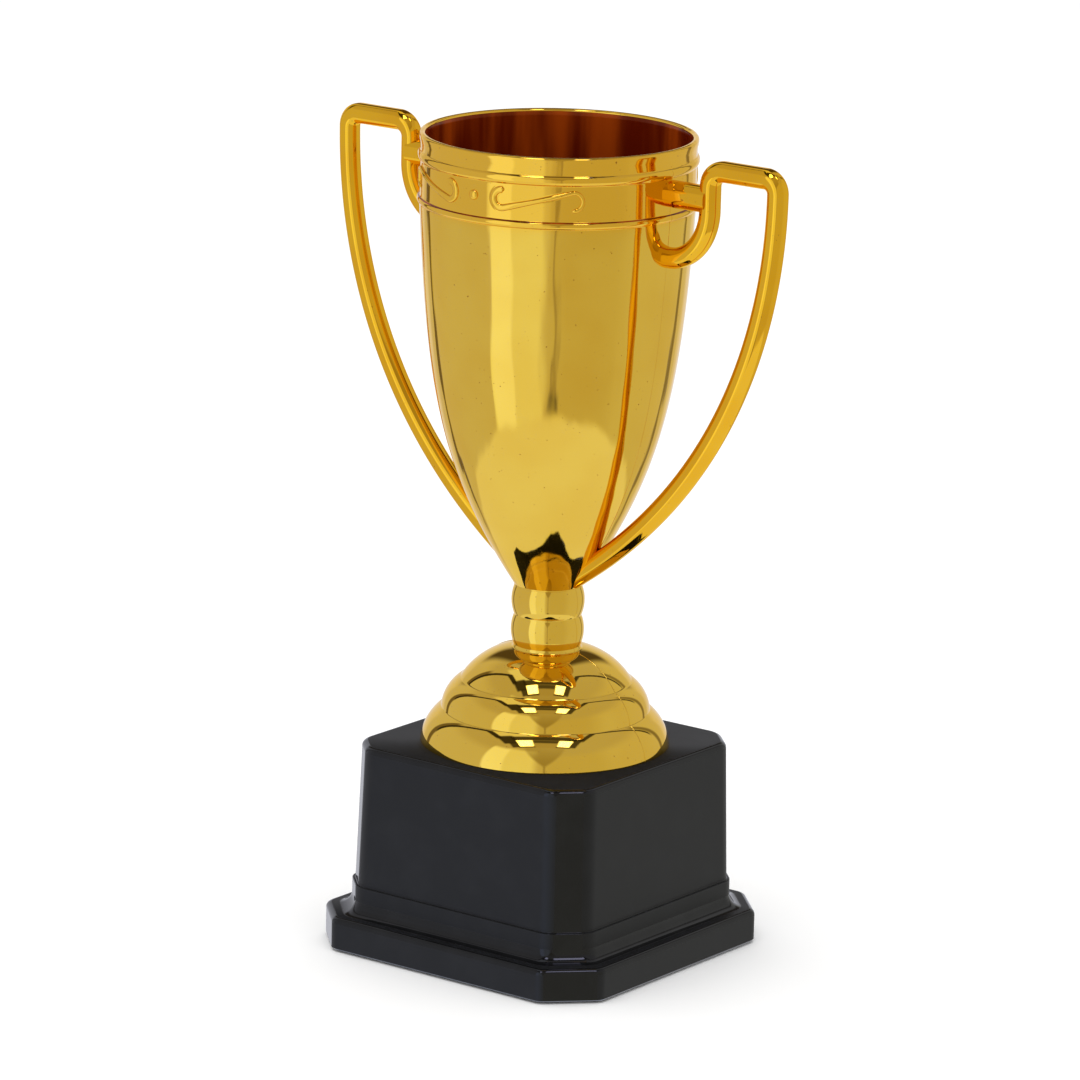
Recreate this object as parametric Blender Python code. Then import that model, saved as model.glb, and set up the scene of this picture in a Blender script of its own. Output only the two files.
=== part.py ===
"""Cup trophy: a two-handled bowl on a ringed stem and a tiered foot, bolted to a hollow black plinth.

Metres, +Z up. The origin is on the surface that the trophy stands on, under the middle of the plinth.
The handles lie along X, and the plinth's sides are parallel to X and Y.
"""

import math

import bmesh
import bpy
from mathutils import Matrix, Vector

# ---- driving dimensions, in metres --------------------------------------------------------------

GAP = 0.0003  # left between faces that touch
CLEARANCE = 0.0003  # radial, round a shaft or a peg in its hole

# Anti-slip pads
PAD_RADIUS = 0.0045
PAD_THICKNESS = 0.0012
PAD_PROUD = 0.0005  # how far the pads lift the plinth off the surface
PAD_SPACING = 0.059

# Plinth
FLANGE_SIDE = 0.080
FLANGE_HEIGHT = 0.0076
FLANGE_EDGE = 0.0014
FLANGE_CORNER = 0.0101  # leg of each cut corner
SKIRT_SIDE = 0.0690
SKIRT_TOP = 0.01425
SKIRT_CORNER = 0.0071
COVE_TOP = 0.0108
LEDGE = 0.0007
BLOCK_DRAFT = 0.00075  # each side leans in by this much, bottom to top
BLOCK_CORNER = 0.0067
BLOCK_EDGE = 0.0015
PLINTH_HEIGHT = 0.04735
PLINTH_WALL = 0.0020
CORNER_SOFTNESS = 0.0016

# Base cover and its screws
COVER_THICKNESS = 0.0024
COVER_MARGIN = 0.0024  # wall left round the cover's recess
COVER_SHELF = 0.0020  # width of the ledge that the cover seats on
COVER_CORNER = 0.0086
COVER_RECESS = 0.0001  # how far the cover sits above the plinth's lower edge
SCREW_SPACING = 0.046
SCREW_SHANK = 0.0012
SCREW_HEAD = 0.0027
SCREW_LENGTH = 0.0120
BOSS_RADIUS = 0.0031

# Ballast
BALLAST_RADIUS = 0.0260
BALLAST_HEIGHT = 0.0220
BALLAST_EDGE = 0.0010
RING_WALL = 0.0012
RING_HEIGHT = 0.0040

# Foot
FOOT_RADIUS = 0.0288
FOOT_WALL = 0.0018
LOWER_TIER = (0.0241, 0.00805, 0.0010)  # radius and height of the tier's top edge, and its bulge
MIDDLE_TIER = (0.0197, 0.01485, 0.0010)
UPPER_TIER = (0.0080, 0.02240, 0.0015)
STEM_RING = 0.0070  # height of one ring
STEM_RADIUS = 0.00845
STEM_WAIST = 0.00775
STEM_WEB = 0.0030
STEM_WALL = 0.0020
LOCATING_WALL = 0.0014
LOCATING_HEIGHT = 0.0020

# Bowl
BOWL_HEIGHT = 0.1048
BOWL_SEAT = 0.00794  # radius where the bowl meets the stem
BOWL_WALL = 0.00135
BOWL_FLOOR = 0.0065
BAND_RADIUS = 0.0313
RIM_RADIUS = 0.0316
UPPER_BEAD = 0.0052  # below the rim, to the bead's middle
LOWER_BEAD = 0.0153
UPPER_BEAD_HEIGHT = 0.0023
LOWER_BEAD_HEIGHT = 0.0017
BEAD_PROUD = 0.0005
SPIGOT_RADIUS = 0.0039
SPIGOT_LENGTH = 0.0016

# Handles
HANDLE_ACROSS = 0.00475  # across the flats of the eight-sided bar
HANDLE_DROP = 0.0005  # from the rim down to the top of the handles
STUB_ACROSS = 0.0060
HANDLE_REACH = 0.0604  # from the bowl's axis to the middle of the long arm
LEG_REACH = 0.0422
TOP_TO_CURL = 0.0214  # from the top bar down to the curl, middle to middle
TOP_TO_STUB = 0.0068
CURL_SPAN = 0.0107
CURL_RISE = 0.0122
LEG_BEND = 0.0037
ARM_BEND = 0.0032
ARM_ROOT_HEIGHT = 0.0049  # above the bottom of the bowl
ARM_ROOT_REACH = 0.0110
ARM_BELLY = (0.0539, 0.0352)  # the arm's lower control point: reach, and height above the bowl's bottom
ARM_DROP = 0.0225  # length of the upper control arm
PEG_RADIUS = 0.0012
PEG_ROOT = 0.0025  # how far a peg reaches back into its handle
ROOT_PEG_HEIGHT = 0.0041
SOCKET_DEPTH = 0.0030

# Tie bolt, nut and washers
BOLT_RADIUS = 0.0020
BOLT_PROUD = 0.0030  # above the nut
HEAD_ACROSS = 0.0070
HEAD_HEIGHT = 0.0028
NUT_HEIGHT = 0.0032
WASHER_THICKNESS = 0.0008
BOWL_WASHER_RADIUS = 0.0045
BOLT_WASHER_RADIUS = 0.0075

ROUND_STEPS = 40
SMALL_STEPS = 16

# ---- heights that follow, from the surface up ---------------------------------------------------

PLINTH_BOTTOM = PAD_PROUD
PLINTH_TOP = PLINTH_BOTTOM + PLINTH_HEIGHT
CEILING = PLINTH_TOP - PLINTH_WALL
COVER_BOTTOM = PLINTH_BOTTOM + COVER_RECESS
COVER_TOP = COVER_BOTTOM + COVER_THICKNESS
FOOT_BOTTOM = PLINTH_TOP + GAP
STEM_BOTTOM = PLINTH_TOP + UPPER_TIER[1] + 0.0008
STEM_TOP = STEM_BOTTOM + 2 * STEM_RING
BOWL_BOTTOM = STEM_TOP + GAP
BOWL_TOP = BOWL_BOTTOM + BOWL_HEIGHT
FLOOR_TOP = BOWL_BOTTOM + BOWL_FLOOR
NUT_BOTTOM = FLOOR_TOP + 2 * GAP + WASHER_THICKNESS
BORE_RADIUS = BOLT_RADIUS + CLEARANCE
PEG_HOLE = PEG_RADIUS + CLEARANCE
HANDLE_TOP = BOWL_TOP - HANDLE_DROP - HANDLE_ACROSS / 2
STUB_HEIGHT = HANDLE_TOP - TOP_TO_STUB
CURL_HEIGHT = HANDLE_TOP - TOP_TO_CURL
ROOT_PEG = BOWL_BOTTOM + ROOT_PEG_HEIGHT


# ---- outlines -----------------------------------------------------------------------------------


def arc(centre, radius, start, end, steps):
    """Points on an arc, angles in degrees from +X (or outward) towards +Z."""
    angles = (math.radians(start + (end - start) * i / steps) for i in range(steps + 1))
    return [(centre[0] + radius * math.cos(a), centre[1] + radius * math.sin(a)) for a in angles]


def bulge(start, end, rise, steps=6):
    """Points on the arc from start to end that bows to its left by rise."""
    a, b = Vector(start), Vector(end)
    along = b - a
    forward = along.normalized()
    left = Vector((-forward.y, forward.x))
    radius = along.length**2 / (8 * rise) + rise / 2
    centre = (a + b) / 2 + left * (rise - radius)
    half = math.asin(along.length / (2 * radius))
    points = []
    for i in range(steps + 1):
        angle = half - 2 * half * i / steps
        points.append(centre + radius * (left * math.cos(angle) - forward * math.sin(angle)))
    return [tuple(p) for p in points]


def bezier(a, b, c, d, steps):
    """Points on a cubic Bezier curve."""
    points = []
    for i in range(steps + 1):
        t = i / steps
        weights = ((1 - t) ** 3, 3 * t * (1 - t) ** 2, 3 * t * t * (1 - t), t**3)
        points.append(tuple(sum(w * p[k] for w, p in zip(weights, (a, b, c, d))) for k in range(2)))
    return points


def bowl_outside(offset=0.0):
    """The bowl's outer outline, bottom to rim, as (radius, height), grown by offset."""
    beads = []
    for middle, height in ((LOWER_BEAD, LOWER_BEAD_HEIGHT), (UPPER_BEAD, UPPER_BEAD_HEIGHT)):
        low, high = BOWL_TOP - middle - height / 2, BOWL_TOP - middle + height / 2
        beads += bulge((BAND_RADIUS, low), (BAND_RADIUS, high), -BEAD_PROUD, 4)
    wall = bezier(
        (BOWL_SEAT, BOWL_BOTTOM),
        (BOWL_SEAT + 0.0175, BOWL_BOTTOM + 0.0265),
        (BAND_RADIUS - 0.0023, BOWL_BOTTOM + 0.0455),
        beads[0],
        14,
    )
    rim = [(RIM_RADIUS, BOWL_TOP - BOWL_WALL / 2)]
    return [(r + offset, z) for r, z in wall[:-1] + beads + rim]


def outside_radius(height):
    """The bowl's outer radius at a height."""
    outline = bowl_outside()
    for (r0, z0), (r1, z1) in zip(outline, outline[1:]):
        if z0 <= height <= z1 and z1 > z0:
            return r0 + (r1 - r0) * (height - z0) / (z1 - z0)
    return RIM_RADIUS


# ---- meshes -------------------------------------------------------------------------------------


def clear_scene():
    for obj in list(bpy.data.objects):
        bpy.data.objects.remove(obj)


def material(name, colour, roughness, metallic=0.0):
    made = bpy.data.materials.new(name)
    made.use_nodes = True
    shader = made.node_tree.nodes["Principled BSDF"]
    shader.inputs["Base Color"].default_value = (*colour, 1.0)
    shader.inputs["Roughness"].default_value = roughness
    shader.inputs["Metallic"].default_value = metallic
    return made


def add_object(name, bm, finish=None):
    """Turns a bmesh into a smooth-shaded object in the scene."""
    bmesh.ops.recalc_face_normals(bm, faces=bm.faces)
    mesh = bpy.data.meshes.new(name)
    bm.to_mesh(mesh)
    bm.free()
    mesh.shade_smooth()
    mesh.set_sharp_from_angle(angle=math.radians(30))
    obj = bpy.data.objects.new(name, mesh)
    bpy.context.collection.objects.link(obj)
    if finish:
        mesh.materials.append(finish)
    return obj


def turned(name, outline, finish=None, steps=ROUND_STEPS):
    """A closed (radius, height) outline spun round Z. Points on the axis are merged."""
    bm = bmesh.new()
    verts = [bm.verts.new((r, 0, z)) for r, z in outline]
    edges = [bm.edges.new((a, b)) for a, b in zip(verts, verts[1:] + verts[:1]) if a.co.x + b.co.x > 1e-9]
    bmesh.ops.spin(
        bm, geom=verts + edges, cent=(0, 0, 0), axis=(0, 0, 1), angle=math.tau, steps=steps, use_merge=True
    )
    bmesh.ops.remove_doubles(bm, verts=bm.verts, dist=1e-6)
    return add_object(name, bm, finish)


def cylinder(name, radius, bottom, top, finish=None, steps=SMALL_STEPS):
    return turned(name, [(0, bottom), (radius, bottom), (radius, top), (0, top)], finish, steps)


def tube(name, inner, outer, bottom, top, finish=None, steps=SMALL_STEPS):
    return turned(name, [(inner, bottom), (outer, bottom), (outer, top), (inner, top)], finish, steps)


def cut_corner_square(half, leg, softness):
    """A square with its corners cut off, each of the eight corners softened into three points."""
    corners = []
    for quarter in range(4):
        turn = Matrix.Rotation(math.pi / 2 * quarter, 2)
        corners += [turn @ Vector((half, half - leg)), turn @ Vector((half - leg, half))]
    points = []
    for before, corner, after in zip(corners[-1:] + corners, corners, corners[1:] + corners[:1]):
        back = (before - corner).normalized() * softness
        ahead = (after - corner).normalized() * softness
        points += [corner + back, corner + (back + ahead) * 0.27, corner + ahead]
    return points


def stacked(name, levels, finish=None):
    """A solid through (height, half side, corner leg) levels, bottom to top."""
    bm = bmesh.new()
    rings = []
    for height, half, leg in levels:
        rings.append([bm.verts.new((x, y, height)) for x, y in cut_corner_square(half, leg, CORNER_SOFTNESS)])
    for below, above in zip(rings, rings[1:]):
        for i, vert in enumerate(below):
            bm.faces.new((below[i - 1], vert, above[i], above[i - 1]))
    bm.faces.new(rings[0])
    bm.faces.new(rings[-1])
    return add_object(name, bm, finish)


def swept(name, path, across, finish=None):
    """An eight-sided bar along a path of (x, z) points in the XZ plane."""
    bm = bmesh.new()
    radius = across / 2 / math.cos(math.pi / 8)
    rings = []
    for i, (x, z) in enumerate(path):
        before, after = path[max(i - 1, 0)], path[min(i + 1, len(path) - 1)]
        along = Vector((after[0] - before[0], 0, after[1] - before[1])).normalized()
        ring = []
        for k in range(8):
            angle = math.pi / 8 + math.pi / 4 * k
            out = radius * math.cos(angle)
            ring.append(bm.verts.new((x - along.z * out, radius * math.sin(angle), z + along.x * out)))
        rings.append(ring)
    for below, above in zip(rings, rings[1:]):
        for k in range(8):
            bm.faces.new((below[k - 1], below[k], above[k], above[k - 1]))
    bm.faces.new(rings[0])
    bm.faces.new(rings[-1])
    return add_object(name, bm, finish)


def along_x(name, radius, start, end, height):
    """A round bar along X, from start to end, at a height."""
    bar = cylinder(name, radius, start, end, steps=12)
    bar.data.transform(Matrix.Translation((0, 0, height)) @ Matrix.Rotation(math.pi / 2, 4, "Y"))
    return bar


def combine(target, other, operation):
    """Cuts other from target, or joins it on, with a Boolean modifier."""
    modifier = target.modifiers.new(f"{operation.lower()} {other.name}", "BOOLEAN")
    modifier.operation = operation
    modifier.object = other
    other.hide_render = True
    other.display_type = "WIRE"


def at_corners(spacing):
    """(name, x, y) of the four corners of a square pattern."""
    half = spacing / 2
    return [
        ("front_left", -half, -half),
        ("front_right", half, -half),
        ("back_left", -half, half),
        ("back_right", half, half),
    ]


# ---- the trophy's pieces ------------------------------------------------------------------------


def block_half(height):
    """Half side of the plinth's drafted block at a height above the plinth's bottom."""
    share = (height - SKIRT_TOP) / (PLINTH_HEIGHT - SKIRT_TOP)
    return SKIRT_SIDE / 2 - LEDGE - BLOCK_DRAFT * share


def plinth_levels():
    """The plinth's outside, bottom to top."""
    flange, skirt = FLANGE_SIDE / 2, SKIRT_SIDE / 2
    levels = [(0, flange, FLANGE_CORNER)]
    edge = arc((flange - FLANGE_EDGE, FLANGE_HEIGHT - FLANGE_EDGE), FLANGE_EDGE, 0, 90, 4)
    cove_depth = COVE_TOP - FLANGE_HEIGHT
    cove = arc((skirt + cove_depth, COVE_TOP), cove_depth, 270, 180, 4)
    for half, height in edge + cove:
        share = (flange - half) / (flange - skirt)
        levels.append((height, half, FLANGE_CORNER + (SKIRT_CORNER - FLANGE_CORNER) * share))
    levels.append((SKIRT_TOP, skirt, SKIRT_CORNER))
    levels.append((SKIRT_TOP, block_half(SKIRT_TOP), BLOCK_CORNER))
    shoulder = PLINTH_HEIGHT - BLOCK_EDGE
    for half, height in arc((block_half(shoulder) - BLOCK_EDGE, shoulder), BLOCK_EDGE, 0, 90, 4):
        levels.append((height, half, BLOCK_CORNER))
    return [(PLINTH_BOTTOM + height, half, leg) for height, half, leg in levels]


def plinth(finish):
    shell = stacked("plinth", plinth_levels(), finish)
    recess = FLANGE_SIDE / 2 - COVER_MARGIN
    flange_room = recess - COVER_SHELF
    roof = PLINTH_BOTTOM + FLANGE_HEIGHT - PLINTH_WALL
    low = block_half(SKIRT_TOP) - PLINTH_WALL
    high = block_half(PLINTH_HEIGHT) - PLINTH_WALL
    hollow = stacked(
        "plinth_hollow",
        [
            (COVER_TOP + GAP, flange_room, COVER_CORNER),
            (roof, flange_room, COVER_CORNER),
            (roof + PLINTH_WALL, low, BLOCK_CORNER),
            (CEILING, high, BLOCK_CORNER),
        ],
    )
    seat = stacked(
        "cover_seat",
        [(-0.01, recess, COVER_CORNER), (COVER_TOP + 2 * GAP, recess, COVER_CORNER)],
    )
    combine(shell, hollow, "DIFFERENCE")
    combine(shell, seat, "DIFFERENCE")
    for place, x, y in at_corners(SCREW_SPACING):
        boss = cylinder(f"boss_{place}", BOSS_RADIUS, COVER_TOP + GAP, CEILING + PLINTH_WALL / 2)
        boss.data.transform(Matrix.Translation((x, y, 0)))
        combine(shell, boss, "UNION")
        pilot = cylinder(f"pilot_{place}", SCREW_SHANK + CLEARANCE, 0, COVER_TOP + SCREW_LENGTH)
        pilot.data.transform(Matrix.Translation((x, y, 0)))
        combine(shell, pilot, "DIFFERENCE")
    outer = FOOT_RADIUS - FOOT_WALL - GAP
    ring = tube(
        "locating_ring",
        outer - LOCATING_WALL,
        outer,
        PLINTH_TOP - PLINTH_WALL / 2,
        PLINTH_TOP + LOCATING_HEIGHT,
        steps=ROUND_STEPS,
    )
    combine(shell, ring, "UNION")
    combine(shell, cylinder("plinth_bore", BORE_RADIUS, CEILING - 0.01, PLINTH_TOP + 0.01), "DIFFERENCE")
    return shell


def base_cover(finish):
    half = FLANGE_SIDE / 2 - COVER_MARGIN - GAP
    levels = [(COVER_BOTTOM, half, COVER_CORNER), (COVER_TOP, half, COVER_CORNER)]
    plate = stacked("base_cover", levels, finish)
    inner = BALLAST_RADIUS + GAP
    ring = tube(
        "ballast_ring",
        inner,
        inner + RING_WALL,
        COVER_TOP - COVER_THICKNESS / 2,
        COVER_TOP + RING_HEIGHT,
        steps=ROUND_STEPS,
    )
    combine(plate, ring, "UNION")
    for place, x, y in at_corners(SCREW_SPACING):
        hole = turned(f"screw_hole_{place}", screw_outline(CLEARANCE), steps=SMALL_STEPS)
        hole.data.transform(Matrix.Translation((x, y, 0)))
        combine(plate, hole, "DIFFERENCE")
    for place, x, y in at_corners(PAD_SPACING):
        pocket = cylinder(f"pad_pocket_{place}", PAD_RADIUS + CLEARANCE, -0.01, PAD_THICKNESS + GAP)
        pocket.data.transform(Matrix.Translation((x, y, 0)))
        combine(plate, pocket, "DIFFERENCE")
    return plate


def screw_outline(grown=0.0):
    """A countersunk screw from its head up, or the hole for it, grown on every side."""
    head = SCREW_HEAD + grown
    shank = SCREW_SHANK + grown
    bottom = COVER_BOTTOM - (0.01 if grown else 0)
    cone = SCREW_HEAD - SCREW_SHANK
    tip = COVER_BOTTOM + SCREW_LENGTH
    outline = [(0, bottom), (head, bottom), (head, COVER_BOTTOM + grown)]
    outline.append((shank, COVER_BOTTOM + cone + grown))
    if grown:
        return outline + [(shank, tip), (0, tip)]
    socket = SCREW_SHANK * 0.8
    point = [(shank, tip - 2 * SCREW_SHANK), (shank / 4, tip), (0, tip)]
    return [(0, bottom + socket), (socket, bottom + socket), (socket, bottom)] + outline[1:] + point


def cover_screws(finish):
    for place, x, y in at_corners(SCREW_SPACING):
        screw = turned(f"cover_screw_{place}", screw_outline(), finish, 12)
        screw.location = (x, y, 0)


def foot_pads(finish):
    for place, x, y in at_corners(PAD_SPACING):
        pad = cylinder(f"foot_pad_{place}", PAD_RADIUS, 0, PAD_THICKNESS, finish)
        pad.location = (x, y, 0)


def ballast(finish):
    bottom = COVER_TOP + GAP
    top = bottom + BALLAST_HEIGHT
    chamfer = BALLAST_EDGE
    outline = [
        (0, bottom),
        (BALLAST_RADIUS - chamfer, bottom),
        (BALLAST_RADIUS, bottom + chamfer),
        (BALLAST_RADIUS, top - chamfer),
        (BALLAST_RADIUS - chamfer, top),
        (0, top),
    ]
    return turned("ballast", outline, finish, 32)


def foot_outline():
    """The hollow foot and stem, as one closed outline."""
    edges = [(FOOT_RADIUS, FOOT_BOTTOM)]
    outside = []
    for radius, height, rise in (LOWER_TIER, MIDDLE_TIER, UPPER_TIER):
        edges.append((radius, PLINTH_TOP + height))
        outside += bulge(edges[-2], edges[-1], -rise)[:-1]
    outside.append(edges[-1])
    for ring in range(2):
        base = STEM_BOTTOM + ring * STEM_RING
        outside += bulge((STEM_WAIST, base), (STEM_WAIST, base + STEM_RING), STEM_WAIST - STEM_RADIUS)[ring:]
    core = STEM_WAIST - STEM_WALL
    socket = SPIGOT_RADIUS + CLEARANCE
    seat = STEM_TOP - SPIGOT_LENGTH - GAP
    roof = seat - STEM_WEB
    inside = [(socket, STEM_TOP), (socket, seat), (BORE_RADIUS, seat), (BORE_RADIUS, roof), (core, roof)]
    inside.append((core, PLINTH_TOP + UPPER_TIER[1] - FOOT_WALL))
    for radius, height in (edges[2], edges[1]):
        inside.append((radius - FOOT_WALL, height - FOOT_WALL))
    inside.append((FOOT_RADIUS - FOOT_WALL, PLINTH_TOP + LOCATING_HEIGHT + GAP))
    inside.append((FOOT_RADIUS - FOOT_WALL, FOOT_BOTTOM))
    return outside + inside


def bowl(finish):
    outside = bowl_outside()
    lip = arc((RIM_RADIUS - BOWL_WALL / 2, BOWL_TOP - BOWL_WALL / 2), BOWL_WALL / 2, 0, 180, 6)
    inner_band = BOWL_TOP - LOWER_BEAD
    inside = [(outside_radius(FLOOR_TOP) - BOWL_WALL, FLOOR_TOP)]
    inside += [(r - BOWL_WALL, z) for r, z in outside if FLOOR_TOP + BOWL_WALL < z < inner_band][::2]
    inside.append((BAND_RADIUS - BOWL_WALL, inner_band))
    spigot = BOWL_BOTTOM - SPIGOT_LENGTH
    outline = [(BORE_RADIUS, spigot), (SPIGOT_RADIUS, spigot), (SPIGOT_RADIUS, BOWL_BOTTOM)]
    outline += outside[:-1] + lip + inside[::-1] + [(BORE_RADIUS, FLOOR_TOP)]
    body = turned("bowl", outline, finish)
    for side, turn in (("right", 0.0), ("left", math.pi)):
        for place, height in (("stub", STUB_HEIGHT), ("curl", CURL_HEIGHT), ("root", ROOT_PEG)):
            reach = outside_radius(height)
            depth = SOCKET_DEPTH + GAP if place == "root" else 0.005
            hole = along_x(f"{place}_hole_{side}", PEG_HOLE, reach - depth, reach + 0.005, height)
            hole.data.transform(Matrix.Rotation(turn, 4, "Z"))
            combine(body, hole, "DIFFERENCE")
    return body


def handle_path():
    """Middle line of the handle: curl, short leg, top bar and long arm down to the bottom of the bowl."""
    quarter = arc((0, 0), 1, 270, 360, 10)
    curl = [(LEG_REACH - CURL_SPAN * (1 - x), CURL_HEIGHT + CURL_RISE * (1 + z)) for x, z in quarter]
    path = [(curl[0][0] - 0.006, CURL_HEIGHT)] + curl
    path += arc((LEG_REACH + LEG_BEND, HANDLE_TOP - LEG_BEND), LEG_BEND, 180, 90, 6)
    path += arc((HANDLE_REACH - ARM_BEND, HANDLE_TOP - ARM_BEND), ARM_BEND, 90, 0, 6)
    start = (HANDLE_REACH, HANDLE_TOP - ARM_BEND)
    belly = (ARM_BELLY[0], BOWL_BOTTOM + ARM_BELLY[1])
    root = (ARM_ROOT_REACH, BOWL_BOTTOM + ARM_ROOT_HEIGHT)
    path += bezier(start, (start[0], start[1] - ARM_DROP), belly, root, 18)[1:]
    inward = (Vector(root) - Vector(belly)).normalized() * 0.005
    return path + [(root[0] + inward.x, root[1] + inward.y)]


def handle(name, turn, finish):
    bar = swept(name, handle_path(), HANDLE_ACROSS, finish)
    stub_start = outside_radius(STUB_HEIGHT) - PEG_ROOT
    stub = swept(f"{name}_stub", [(stub_start, STUB_HEIGHT), (LEG_REACH, STUB_HEIGHT)], STUB_ACROSS)
    combine(bar, stub, "UNION")
    above = BOWL_TOP + 0.01
    trim = [(0, BOWL_BOTTOM)] + bowl_outside(GAP) + [(RIM_RADIUS + GAP, above), (0, above)]
    combine(bar, turned(f"{name}_trim", trim), "DIFFERENCE")
    for place, height in (("stub", STUB_HEIGHT), ("curl", CURL_HEIGHT), ("root", ROOT_PEG)):
        reach = outside_radius(height)
        depth = SOCKET_DEPTH if place == "root" else BOWL_WALL
        peg = along_x(f"{name}_{place}_peg", PEG_RADIUS, reach - depth, reach + PEG_ROOT, height)
        combine(bar, peg, "UNION")
    for piece in [bar] + [modifier.object for modifier in bar.modifiers]:
        piece.rotation_euler.z = turn
    return bar


def hex_prism(name, across, bottom, top, finish=None):
    corner = across / 2 / math.cos(math.pi / 6)
    return cylinder(name, corner, bottom, top, finish, 6)


def tie_bolt(finish):
    head_top = CEILING - 2 * GAP - WASHER_THICKNESS
    head_bottom = head_top - HEAD_HEIGHT
    bolt = hex_prism("tie_bolt", HEAD_ACROSS, head_bottom, head_top, finish)
    tip = NUT_BOTTOM + NUT_HEIGHT + BOLT_PROUD
    chamfer = BOLT_RADIUS / 4
    shank = turned(
        "tie_bolt_shank",
        [
            (0, head_top - HEAD_HEIGHT / 2),
            (BOLT_RADIUS, head_top - HEAD_HEIGHT / 2),
            (BOLT_RADIUS, tip - chamfer),
            (BOLT_RADIUS - chamfer, tip),
            (0, tip),
        ],
        steps=SMALL_STEPS,
    )
    combine(bolt, shank, "UNION")


def bolt_washer(finish):
    top = CEILING - GAP
    return tube("bolt_washer", BORE_RADIUS, BOLT_WASHER_RADIUS, top - WASHER_THICKNESS, top, finish)


def bowl_washer(finish):
    bottom = FLOOR_TOP + GAP
    return tube("bowl_washer", BORE_RADIUS, BOWL_WASHER_RADIUS, bottom, bottom + WASHER_THICKNESS, finish)


def bowl_nut(finish):
    top = NUT_BOTTOM + NUT_HEIGHT
    nut = hex_prism("bowl_nut", HEAD_ACROSS, NUT_BOTTOM, top, finish)
    bore = cylinder("nut_bore", BORE_RADIUS, NUT_BOTTOM - 0.001, top + 0.001)
    combine(nut, bore, "DIFFERENCE")
    return nut


def main():
    clear_scene()
    gold = material("gold_plastic", (0.83, 0.56, 0.10), 0.12, 1.0)
    black = material("black_plastic", (0.012, 0.012, 0.013), 0.18)
    cover = material("cover_plastic", (0.02, 0.02, 0.02), 0.5)
    steel = material("zinc_steel", (0.62, 0.62, 0.60), 0.3, 1.0)
    rubber = material("pad_rubber", (0.03, 0.03, 0.03), 0.8)
    cast = material("cast_weight", (0.5, 0.49, 0.47), 0.9)
    plinth(black)
    base_cover(cover)
    cover_screws(steel)
    foot_pads(rubber)
    ballast(cast)
    turned("foot", foot_outline(), gold)
    bowl(gold)
    handle("handle_right", 0.0, gold)
    handle("handle_left", math.pi, gold)
    tie_bolt(steel)
    bolt_washer(steel)
    bowl_washer(steel)
    bowl_nut(steel)


if __name__ == "__main__":
    main()
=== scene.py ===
"""Looks of a small prize cup: bright gold bowl, handles and tiered foot on a gloss black plinth.

Metres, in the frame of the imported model: +Z up, the handles along X, the front towards -Y.
"""

import logging
import math
from dataclasses import dataclass
from enum import Enum
from typing import Callable, Mapping, Optional, Sequence, Union

import bpy
from mathutils import Matrix, Vector


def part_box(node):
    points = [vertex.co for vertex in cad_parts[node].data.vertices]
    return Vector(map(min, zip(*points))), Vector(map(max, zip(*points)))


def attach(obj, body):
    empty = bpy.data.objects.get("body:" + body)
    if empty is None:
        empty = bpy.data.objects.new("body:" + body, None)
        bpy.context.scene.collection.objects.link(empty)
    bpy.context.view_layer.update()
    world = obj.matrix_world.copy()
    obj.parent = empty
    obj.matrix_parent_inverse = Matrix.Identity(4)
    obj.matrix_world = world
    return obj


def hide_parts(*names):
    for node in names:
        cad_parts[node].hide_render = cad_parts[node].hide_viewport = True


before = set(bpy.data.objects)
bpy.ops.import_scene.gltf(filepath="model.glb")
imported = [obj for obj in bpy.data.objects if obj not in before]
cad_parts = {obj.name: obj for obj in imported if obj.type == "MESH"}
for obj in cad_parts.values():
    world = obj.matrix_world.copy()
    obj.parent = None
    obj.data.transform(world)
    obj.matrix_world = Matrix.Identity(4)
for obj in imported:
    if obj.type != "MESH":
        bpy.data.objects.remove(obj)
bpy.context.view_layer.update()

LOG = logging.getLogger("trophy")
BODY = "root"

Point2 = tuple[float, float]
Colour = tuple[float, float, float]
Shape = Callable[[float, float, float], float]  # a radius from (radius, height, angle)

SEAM = 0.00005  # light gap drawn between two pieces that rest on each other
ROUND_STEPS = 288
SMALL_STEPS = 48
SHARP_ANGLE = math.radians(30)


# ---- shader graphs ------------------------------------------------------------------------------


class Signal:
    """A shader socket that takes part in Python arithmetic; every operator adds a Math node."""

    def __init__(self, graph: "Graph", socket: bpy.types.NodeSocket) -> None:
        """Wraps a socket.

        Args:
            graph: The graph that owns the socket.
            socket: The output that carries the value.
        """
        self.graph = graph
        self.socket = socket

    def __add__(self, other: "Value") -> "Signal":
        """Sum."""
        return self.graph.maths("ADD", self, other)

    def __sub__(self, other: "Value") -> "Signal":
        """Difference."""
        return self.graph.maths("SUBTRACT", self, other)

    def __rsub__(self, other: "Value") -> "Signal":
        """Difference with this value on the right."""
        return self.graph.maths("SUBTRACT", other, self)

    def __mul__(self, other: "Value") -> "Signal":
        """Product."""
        return self.graph.maths("MULTIPLY", self, other)

    __radd__ = __add__
    __rmul__ = __mul__


Value = Union[Signal, float]


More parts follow.
